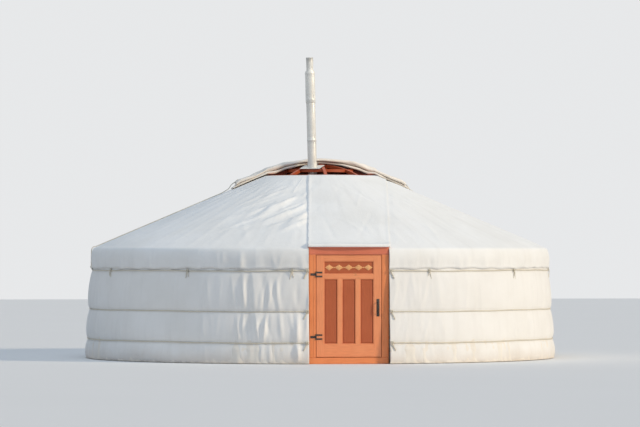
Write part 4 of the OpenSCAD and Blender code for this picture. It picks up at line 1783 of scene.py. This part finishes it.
@dataclass
class Ropes(Part):
    """Hair ropes around the wall and over the roof, with their knots."""

    end: float = 9.95
    steps: int = 700
    ties: int = 12
    first_tie: float = -42.0
    tie_radius: float = 0.0045

    def around_wall(self, name: str, node: str, z: float, proud: float) -> None:
        """Makes one rope around the wall with a knot and a tail at each jamb.

        Args:
            name: the piece's name.
            node: the CAD node.
            z: its height.
            proud: how far out it lies.
        """
        p = self.plan
        radius = p.cover_radius(z) + proud + p.rope_radius + 0.0008
        start, sweep = -90 + self.end, 360 - 2 * self.end
        turns = [radians(start + sweep * i / self.steps) for i in range(self.steps + 1)]
        run = [at(radius, a, z + 0.004 * sin(a * 7) + 0.002 * sin(a * 23)) for a in turns]
        runs = [run]
        for side, place in ((1, run[0]), (-1, run[-1])):
            runs += [self.wrap(place, side, turn) for turn in range(3)]
            runs.append([place + Vector((side * t * 0.006, -0.012 - 0.004 * sin(t * 1.3),
                                         -0.012 * t)) for t in range(9)])
        round_rope(name, runs, p.rope_radius, self.palette, [node])

    def circle(self) -> list[float]:
        """The angles of a small round, closed."""
        return [tau * i / 14 for i in range(15)]

    def wrap(self, place: Vector, side: int, turn: int) -> list[Vector]:
        """One turn of a knot around a rope's end.

        Args:
            place: the rope's end.
            side: 1 or -1, the way the knot goes on.
            turn: which turn, from 0.

        Returns:
            The turn's middle line.
        """
        out = Vector((place.x, place.y, 0)).normalized()
        along = Vector((-out.y, out.x, 0)) * side
        middle = place + along * (0.012 * (turn - 1)) + out * 0.006
        return [middle + out * (0.011 * cos(a)) + Vector((0, 0, 0.015 * sin(a)))
                + along * 0.003 * sin(2 * a) for a in self.circle()]

    def over_roof(self, name: str, bearing: float) -> None:
        """Makes one taut rope from the crown cloth to the upper wall rope.

        Args:
            name: the piece's name.
            bearing: where it runs, in degrees.
        """
        p = self.plan
        edge = p.cloth_radius
        corners = [(r, p.roof_z(r) + up)
                   for r, up in ((edge - 0.1, 0.135), (edge - 0.01, 0.103), (edge + 0.03, 0.062),
                                 (edge + 0.12, 0.046), (3.004, 0.045))]
        corners += [(3.04, 1.482), (3.057, 1.462), (3.066, 1.43), (3.07, 1.196)]
        turned_to = about(bearing)
        run: list[Vector] = []
        for (r0, z0), (r1, z1) in zip(corners, corners[1:]):
            count = max(1, round(hypot(r1 - r0, z1 - z0) / 0.03))
            run += [turned_to @ Vector((r0 + (r1 - r0) * i / count, 0, z0 + (z1 - z0) * i / count))
                    for i in range(count)]
        run.append(turned_to @ Vector((corners[-1][0], 0, corners[-1][1])))
        loop = [turned_to @ Vector((3.067 + 0.012 * cos(a), 0.02 * sin(a), 1.2 + 0.016 * cos(a)))
                for a in self.circle()]
        round_rope(name, [run, loop], p.rope_radius - 0.001, self.palette, [name[:-6]])

    def build(self) -> None:
        """Makes the three wall ropes, the three crown ropes and the skirt's ties."""
        proud = (0.0, 0.0, self.plan.layer_gap + self.plan.cover)
        names = ("upper", "middle", "lower")
        for name, z, extra in zip(names, self.plan.rope_heights, proud):
            self.around_wall(f"wall_rope_{name}_hair", f"wall_rope_{name}", z, extra)
        for name, bearing in (("left", 176.0), ("right", 4.0), ("back", 90.0)):
            self.over_roof(f"crown_rope_{name}_twist", bearing)
        self.skirt_ties()

    def skirt_ties(self) -> None:
        """Knots the skirt's ties around the upper wall rope, each with two short tails."""
        p = self.plan
        z = p.rope_heights[0]
        radius = p.cover_radius(z) + p.rope_radius + 0.001
        rng = random.Random(17)
        runs: list[list[Vector]] = []
        for k in range(self.ties):
            a = radians(self.first_tie + k * 360 / self.ties + rng.uniform(-2, 2))
            place = at(radius, a, z)
            out = at(1.0, a, 0.0)
            along = Vector((-out.y, out.x, 0))
            runs += [self.wrap(place, 1, turn) for turn in range(3)]
            runs.append([place + out * (0.012 - 0.0008 * t) + Vector((0, 0, 0.006 * t))
                         for t in range(6)])
            for side in (-1, 1):
                drop = rng.uniform(0.06, 0.11)
                runs.append([place + out * (0.016 + 0.003 * sin(t)) + along * side * 0.004 * t
                             - Vector((0, 0, drop * t / 6)) for t in range(7)])
        round_rope("skirt_ties", runs, self.tie_radius, self.palette, ())


# The door


@dataclass
class DoorFrame(Part):
    """Jambs, lintel and sill with mouldings, all in orange paint."""

    sill: float = 0.08
    lintel: float = 0.12
    stop: float = 0.02
    stop_from: float = 0.045
    edge: float = 0.004
    beads: Pair = (0.016, 0.066)
    bead_out: float = 0.0035
    bead_in: float = 0.004

    def build(self) -> None:
        """Makes the four boards of the frame with their stops and beads."""
        p = self.plan
        front, back = -p.frame_front, -p.frame_back
        half, opening = p.half_frame, p.half_frame - p.jamb_width
        under, stop = p.frame_height - self.lintel, front + self.stop_from
        low, high = self.sill + 0.0005, under - 0.0005
        for side, name in ((-1, "left"), (1, "right")):
            bm = bmesh.new()
            board(bm, (side * opening, front, low), (side * half, back, high), self.edge, 2,
                  side * 0.3)
            board(bm, (side * (opening - self.stop), stop, low + 0.025),
                  (side * (opening + 0.002), back, high - 0.025), 0.002, 2, side * 0.7)
            for inset in self.beads:
                board(bm, (side * (opening + inset), front - self.bead_out, low + 0.01),
                      (side * (opening + inset + 0.01), front + self.bead_in, high - 0.01),
                      0.0028, 2, inset * 9)
            finish(bm, f"jamb_{name}", self.palette.frame_paint,
                   stands_for=[f"door_jamb_{name}"], smooth=False)
        bm = bmesh.new()
        board(bm, (-half, front, under), (half, back, p.frame_height), self.edge, 0, 0.2)
        board(bm, (-opening + 0.0005, stop, under - 0.0245),
              (opening - 0.0005, back, under + 0.01), 0.002, 0, 0.9)
        for z in (0.018, 0.092):
            board(bm, (-half + 0.01, front - self.bead_out, under + z),
                  (half - 0.01, front + self.bead_in, under + z + 0.011), 0.003, 0, z * 7)
        finish(bm, "lintel_board", self.palette.lintel_paint,
               stands_for=["door_lintel"], smooth=False)
        bm = bmesh.new()
        board(bm, (-half, front, 0.0), (half, back, self.sill), 0.006, 0, 0.4)
        board(bm, (-opening + 0.0005, stop, self.sill - 0.01),
              (opening - 0.0005, back, self.sill + 0.0245), 0.003, 0, 1.4)
        finish(bm, "sill_board", self.palette.frame_paint,
               stands_for=["door_sill"], smooth=False)


@dataclass
class DoorLeaf(Part):
    """The leaf: stiles and rails, three tall fielded panels and a frieze of lozenges."""

    gap: float = 0.006
    thickness: float = 0.04
    bottom: float = 0.088
    top: float = 1.372
    panel_width: float = 0.175
    pitch: float = 0.23
    panel_low: float = 0.25
    panel_high: float = 1.075
    frieze_low: float = 1.135
    frieze_high: float = 1.3
    field_rise: float = 0.006
    bead_width: float = 0.008
    bead_depth: Pair = (0.003, 0.012)
    lozenge_pitch: float = 0.125

    def build(self) -> None:
        """Makes the joinery, the panels and the ornament."""
        p = self.plan
        front = -p.frame_front
        back = front + self.thickness
        half = p.half_frame - p.jamb_width - self.gap
        reach = self.pitch + self.panel_width / 2
        bm = bmesh.new()
        for side in (-1, 1):
            board(bm, (side * reach, front, self.bottom), (side * half, back, self.top), 0.003,
                  2, side * 0.4)
        for low, high, shift in ((self.bottom, self.panel_low, 0.1),
                                 (self.panel_high, self.frieze_low, 0.6),
                                 (self.frieze_high, self.top, 1.1)):
            board(bm, (-reach - 0.001, front + 0.0006, low),
                  (reach + 0.001, back - 0.0006, high), 0.003, 0, shift)
        for k in (-0.5, 0.5):
            wide = self.pitch - self.panel_width
            middle = k * self.pitch
            board(bm, (middle - wide / 2, front + 0.0003, self.panel_low - 0.001),
                  (middle + wide / 2, back - 0.0003, self.panel_high + 0.001), 0.003, 2,
                  k + 1.3)
        self.mouldings(bm, front)
        finish(bm, "leaf_joinery", self.palette.leaf_paint, Body.DOOR,
               ["door_leaf"], smooth=False)
        self.panels(front, back)
        self.ornament(front)

    def recesses(self, slack: float = 0.0) -> list[tuple[float, ...]]:
        """Left, right, low and high of each tall recess, then of the frieze.

        Args:
            slack: how much smaller on every side.

        Returns:
            Four sizes a recess.
        """
        half = self.panel_width / 2 - slack
        tall = [(k * self.pitch - half, k * self.pitch + half, self.panel_low + slack,
                 self.panel_high - slack) for k in (-1, 0, 1)]
        reach = self.pitch + half
        return tall + [(-reach, reach, self.frieze_low + slack, self.frieze_high - slack)]

    def mouldings(self, bm: Mesh, front: float) -> None:
        """Frames each recess with a bead.

        Args:
            bm: the leaf's mesh.
            front: the leaf's outer face.
        """
        wide = self.bead_width
        near, deep = (front + depth for depth in self.bead_depth)
        for left, right, low, high in self.recesses():
            for x in (left, right - wide):
                board(bm, (x, near, low), (x + wide, deep, high), 0.003, 2, x)
            for z in (low, high - wide):
                board(bm, (left, near, z), (right, deep, z + wide), 0.003, 0, z)

    def panels(self, front: float, back: float) -> None:
        """Sets the fielded panels into the leaf, alike on both faces, and the frieze's board.

        Args:
            front: the leaf's outer face.
            back: its inner face.
        """
        bm = bmesh.new()
        *tall, (left, right, low, high) = self.recesses(0.0006)
        for i, (x0, x1, z0, z1) in enumerate(tall):
            self.fielded(bm, (x0, front + 0.0165, z0), (x1, back - 0.0095, z1), 0.3 * i)
        board(bm, (left, front + 0.014, low), (right, front + 0.028, high), 0.001, 0, 0.9)
        finish(bm, "leaf_panels", self.palette.panel_paint, Body.DOOR,
               ["door_panels"], smooth=False)

    def fielded(self, bm: Mesh, low: Place, high: Place, shift: float) -> None:
        """Adds a panel whose middle rises on both faces, with a broad slope around it.

        Args:
            bm: the mesh.
            low: one corner.
            high: the other corner.
            shift: moves its grain pattern.
        """
        before = len(bm.verts)
        board(bm, low, high, 0.0, 2, shift)
        broad = [f for f in faces_of(list(bm.verts)[before:]) if abs(f.normal.y) > 0.9]
        for margin, rise in ((0.008, 0.0), (0.026, self.field_rise), (0.003, -0.0012)):
            bmesh.ops.inset_individual(bm, faces=broad, thickness=margin, depth=rise,
                                       use_even_offset=True)
        bm.normal_update()
        unwrap_board(bm, 2, list(bm.verts)[before:], shift)

    def ornament(self, front: float) -> None:
        """Sets the row of lozenges on the frieze, each with a raised core, and beads between.

        Args:
            front: the leaf's outer face.
        """
        bm = bmesh.new()
        middle = (self.frieze_low + self.frieze_high) / 2
        for i in range(-2, 3):
            for size, deep in ((0.038, 0.006), (0.022, 0.0095)):
                made = cone(bm, 4, size, size * 0.8, deep)
                rotate(bm, made, 90, "X")
                place = (i * self.lozenge_pitch, front + 0.0145 - deep / 2, middle)
                bmesh.ops.transform(bm, matrix=stretched(place, (1.5, 1.0, 1.0)), verts=made)
        for i in range(-2, 2):
            x = (i + 0.5) * self.lozenge_pitch
            bead(bm, (x, front + 0.013, middle), 0.009, 0.5, 2)
        bm.normal_update()
        unwrap_board(bm, 0)
        finish(bm, "frieze_lozenges", self.palette.ornament_paint, Body.DOOR,
               smooth=False)


@dataclass
class DoorIron(Part):
    """Hinges, nails and pull handles in forged iron."""

    pin: Pair = (-0.418, -3.003)
    heights: Pair = (0.34, 1.13)
    barrel: float = 0.007
    strap_offset: float = 0.025
    strap_half: float = 0.01
    middle_half: float = 0.0146
    caps: Pair = (0.0353, 0.0385)
    cap_radius: float = 0.0055
    handle_x: float = 0.372
    handle_plate: Pair = (0.6, 0.82)
    grip: float = 0.0072

    def knuckle(self, bm: Mesh, low: float, high: float, radius: float) -> None:
        """Adds one knuckle with softened rims on the hinge's axis.

        Args:
            bm: the mesh.
            low: its lower end.
            high: its upper end.
            radius: its radius.
        """
        made = cone(bm, 24, radius, radius, high - low)
        rims = [e for e in edges_of(made) if abs(e.verts[0].co.z - e.verts[1].co.z) < 1e-6]
        made = rounded(bm, rims, 0.0006)
        grown = list({v for f in faces_of(made) for v in f.verts})
        bmesh.ops.translate(bm, vec=(*self.pin, (low + high) / 2), verts=grown)

    def strap(self, bm: Mesh, left: float, right: float, low: float, high: float) -> None:
        """Adds a flat strap with nail heads.

        Args:
            bm: the mesh.
            left: its left end.
            right: its right end.
            low: its lower edge.
            high: its upper edge.
        """
        y = self.pin[1] + 0.003
        board(bm, (left, y, low), (right, y + 0.0045, high), 0.0008, 0)
        middle = (low + high) / 2
        for k in (0.3, 0.6, 0.9):
            x = left + (right - left) * (k if left > self.pin[0] - 0.01 else 1 - k)
            bead(bm, (x, y, middle), 0.0042, 0.5)

    def build(self) -> None:
        """Makes both halves of the hinges and the handles."""
        leaf, fixed = bmesh.new(), bmesh.new()
        x = self.pin[0]
        for z in self.heights:
            low, high = z - self.middle_half, z + self.middle_half
            self.knuckle(fixed, low, high, self.barrel)
            for part in (-1, 1):
                middle = z + part * self.strap_offset
                ends = (middle - self.strap_half, middle + self.strap_half)
                self.knuckle(leaf, *ends, self.barrel)
                self.strap(leaf, x + 0.004, x + 0.08, *ends)
                self.knuckle(fixed, *sorted(z + part * cap for cap in self.caps),
                             self.cap_radius)
            self.strap(fixed, x - 0.072, x - 0.004, low, high)
        finish(leaf, "hinge_straps_leaf", self.palette.iron, Body.DOOR,
               ["hinge_leaf_plates"], smooth=False)
        finish(fixed, "hinge_straps_frame", self.palette.iron, Body.ROOT,
               ["hinge_frame_plates"], smooth=False)
        self.handles()

    def handles(self) -> None:
        """Makes a pull handle on each face of the leaf."""
        x, front = self.handle_x, -self.plan.frame_front
        foot, top = self.handle_plate
        grips = ((-1, front - 0.0005, 0.036), (1, front + 0.0405, 0.024))
        bend = ((0.0, 0.64), (0.6, 0.64), (0.92, 0.646), (1.0, 0.66), (1.0, 0.71), (1.0, 0.76),
                (0.92, 0.774), (0.6, 0.78), (0.0, 0.78))
        bm = swept([[Vector((x, y + face * reach * out, z)) for out, z in bend]
                    for face, y, reach in grips], self.grip, 2)
        for face, y, _ in grips:
            board(bm, (x - 0.018, y, foot), (x + 0.018, y + face * 0.004, top), 0.0015, 2)
            for z in (foot + 0.012, top - 0.012):
                bead(bm, (x, y + face * 0.004, z), 0.005, 0.5, 2)
        finish(bm, "pull_handles", self.palette.iron, Body.DOOR, ["door_handle"])


# Crown and stovepipe


@dataclass
class CrownTimber(Part):
    """The crown ring, its dome of spokes and the two posts, in painted timber."""

    def dress(self, node: str, name: str, edge: float) -> None:
        """Copies a solid, rounds its edges and gives it a cut map.

        Args:
            node: the CAD node.
            name: the piece's name.
            edge: the rounding in metres.
        """
        bm = solid_copy(node)
        sharp = [e for e in bm.edges if e.calc_face_angle(0.0) > radians(40)]
        rounded(bm, sharp, edge)
        bmesh.ops.triangulate(bm, faces=[f for f in bm.faces if len(f.verts) > 4])
        unwrap_round(bm, 0.7)
        piece = finish(bm, name, self.palette.timber, stands_for=[node],
                       smooth=False, outward=False)
        piece.data.validate()

    def build(self) -> None:
        """Dresses the ring, the spokes and the posts."""
        self.dress("crown_ring", "crown_ring_timber", 0.003)
        self.dress("crown_wheel", "crown_spokes", 0.004)
        for post in ("post_left", "post_right"):
            self.dress(post, post + "_timber", 0.004)


@dataclass
class Stovepipe(Part):
    """The stovepipe: swells, lock seams, rivets, the sleeve with its tip, the roof plate."""

    radius: float = 0.06
    sleeve: float = 0.066
    tip: float = 0.047
    wall: float = 0.003
    top: float = 4.01
    steps: int = 72
    rivet: float = 0.0042
    rivet_pitch: int = 60

    def centre(self) -> Vector:
        """The pipe's axis at the ground."""
        return at(self.plan.pipe_distance, radians(self.plan.pipe_bearing), 0.0)

    def swage(self, radius: float, low: float, high: float, out: float) -> Line:
        """The outline of a rolled swell between two heights."""
        return (radius, low), (radius + out, low + 0.004), (radius + out, high - 0.004), (radius, high)

    def turned_piece(self, name: str, line: Line, node: str,
                     seams: Sequence[Place]) -> None:
        """Spins a closed outline about the pipe's axis and adds its lock seam.

        Args:
            name: the piece's name.
            line: the outline as (radius, height).
            node: the CAD node that it stands for.
            seams: (low, high, radius) of each upright lock seam.
        """
        bm = bmesh.new()
        outline(bm, line, 0.05, close=True)
        spin(bm, tau, self.steps, merge=True)
        for low, high, radius in seams:
            made = board(bm, (radius - 0.0008, -0.006, low), (radius + 0.0022, 0.006, high),
                         0.001, 2)
            rotate(bm, made, -60)
            for z in (low + 0.03, high - 0.03):
                for bearing in range(10, 360, self.rivet_pitch):
                    bead(bm, at(radius, radians(bearing), z), self.rivet)
        pivot = Vector((0, 0, self.plan.dome_z(self.plan.pipe_distance)))
        bmesh.ops.rotate(bm, verts=bm.verts[:], cent=pivot,
                         matrix=about(-self.plan.pipe_lean, "Y"))
        bmesh.ops.translate(bm, vec=self.centre(), verts=bm.verts[:])
        piece = finish(bm, name, self.palette.steel, stands_for=[node])
        centre = np.array(self.centre())
        displace(piece, lambda q: waves(q - centre, 0.22, 81) * 0.0007)

    def build(self) -> None:
        """Makes the lower pipe, the sleeve with the tip, and the tilted roof plate."""
        r, w = self.radius, self.wall
        lower = [(r + 0.0015, 2.246), (r + 0.0015, 2.262), (r, 2.266),
                 *self.swage(r, 2.896, 2.918, 0.003), (r, 3.43), (r - w, 3.43), (r - w, 2.246)]
        self.turned_piece("pipe_lower", lower, "stovepipe_lower",
                          [(2.3, 2.88, r), (2.93, 3.39, r)])
        s, t = self.sleeve, self.tip
        upper = [(r + 0.001, 3.405), (s - 0.002, 3.405), (s, 3.409),
                 *self.swage(s, 3.44, 3.456, 0.0015), *self.swage(s, 3.79, 3.806, 0.0015),
                 (s, 3.815), (t, 3.84), (t, self.top - 0.012), (t + 0.002, self.top - 0.009),
                 (t + 0.002, self.top - 0.002), (t, self.top), (t - w, self.top), (t - w, 3.838),
                 (s - w, 3.812), (s - w, 3.44), (r + 0.001, 3.44)]
        self.turned_piece("pipe_sleeve_and_tip", upper, "stovepipe_upper",
                          [(3.46, 3.785, s), (3.85, self.top - 0.016, t)])
        bm = solid_copy("stovepipe_flashing")
        bmesh.ops.triangulate(bm, faces=[f for f in bm.faces if len(f.verts) > 4])
        finish(bm, "pipe_roof_plate", self.palette.steel,
               stands_for=["stovepipe_flashing"], smooth=False, outward=False)


# Stage and camera


@dataclass
class Studio:
    """A plain pale floor, soft lights and the photograph's viewing angle."""

    distance: float = 50.0
    turn: float = 7.0
    eye: float = 1.43
    aim: float = 1.93
    view_width: float = 8.6
    sensor: float = 36.0
    floor_size: float = 60.0
    fill: Colour = (0.69, 0.82, 1.0, 1.0)
    fill_strength: float = 0.29
    backdrop: Colour = (0.80, 0.81, 0.82, 1.0)

    def floor(self) -> None:
        """Lays the pale floor that keeps the object's shadow."""
        bm = bmesh.new()
        bmesh.ops.create_grid(bm, x_segments=1, y_segments=1, size=self.floor_size)
        mesh = bpy.data.meshes.new("floor")
        bm.to_mesh(mesh)
        bm.free()
        r = Recipe("pale_floor")
        pale = r.noise(r.place(), 0.3, 2)
        r.paint(r.blend(pale, (0.77, 0.76, 0.75, 1), (0.79, 0.78, 0.77, 1)),
                r.span(pale, 0.0, 1.0, 0.9, 0.95))
        r.set(Specular_IOR_Level=0.1)
        mesh.materials.append(r.material)
        floor = bpy.data.objects.new("floor", mesh)
        floor.location.z = -0.0015
        bpy.context.scene.collection.objects.link(floor)

    def sky(self) -> None:
        """Lights the scene evenly and shows a pale background to camera and metal."""
        world = bpy.data.worlds.new("studio")
        bpy.context.scene.world = world
        nodes = Nodes(world)
        output, mix = nodes.add("OutputWorld"), nodes.add("MixShader")
        for target, colour, strength in ((mix.inputs[1], self.fill, self.fill_strength),
                                         (mix.inputs[2], self.backdrop, 1.0)):
            light = nodes.add("Background", Color=colour, Strength=strength)
            nodes.join(light.outputs[0], target)
        path = nodes.add("LightPath")
        share = path.outputs["Is Camera Ray"]
        for ray in ("Is Glossy Ray", "Is Transmission Ray"):
            share = nodes.sum("MAXIMUM", share, path.outputs[ray])
        nodes.join(share, mix.inputs[0])
        nodes.join(mix.outputs[0], output.inputs["Surface"])

    def lamp(self, name: str, bearing: float, height: float, softness: float, power: float,
             colour: Place) -> None:
        """Sets one far, soft lamp that lights the yurt and the whole floor alike.

        Args:
            name: the lamp's name.
            bearing: where it stands, in degrees about Z.
            height: its height above the horizon in degrees.
            softness: how wide it looks, in degrees.
            power: its strength.
            colour: its colour.
        """
        light = bpy.data.lights.new(name, "SUN")
        light.angle = radians(softness)
        light.energy = power
        light.color = colour
        lamp = bpy.data.objects.new(name, light)
        b, h = radians(bearing), radians(height)
        toward = at(cos(h), b, sin(h))
        lamp.location = toward * 20
        lamp.rotation_euler = (-toward).to_track_quat("-Z", "Y").to_euler()
        bpy.context.scene.collection.objects.link(lamp)

    def camera(self) -> None:
        """Sets the camera on the photograph's line of sight."""
        a = radians(self.turn)
        place = Vector((-self.distance * sin(a), -self.distance * cos(a), self.eye))
        data = bpy.data.cameras.new("camera")
        data.sensor_width = self.sensor
        data.lens = self.sensor * self.distance / self.view_width
        data.clip_end = 200.0
        camera = bpy.data.objects.new("camera", data)
        camera.location = place
        camera.rotation_euler = (Vector((0, 0, self.aim)) - place).to_track_quat(
            "-Z", "Y").to_euler()
        bpy.context.scene.collection.objects.link(camera)
        bpy.context.scene.camera = camera

    def build(self) -> None:
        """Sets up everything around the yurt."""
        bpy.context.scene.view_settings.view_transform = "Standard"
        self.floor()
        self.sky()
        self.lamp("key", bearing=-31.0, height=21.0, softness=8.0, power=2.12,
                  colour=(1.0, 0.85, 0.63))
        self.lamp("overhead", bearing=-105.0, height=72.0, softness=60.0, power=1.22,
                  colour=(0.77, 0.88, 1.0))
        self.camera()


def main() -> None:
    """Builds the yurt in order and reports each piece."""
    logging.basicConfig(level=logging.INFO, format="%(name)s %(relativeCreated)d ms %(message)s")
    palette = Palette()
    Studio().build()
    for part in (FeltLayers, LatticeWall, RoofPoles, CrownTimber, WallCanvas, BaseStrip,
                 RoofCover, FrontFlap, CrownCloth, Ropes, DoorFrame, DoorLeaf, DoorIron,
                 Stovepipe):
        part(palette).build()


if __name__ == "__main__":
    main()
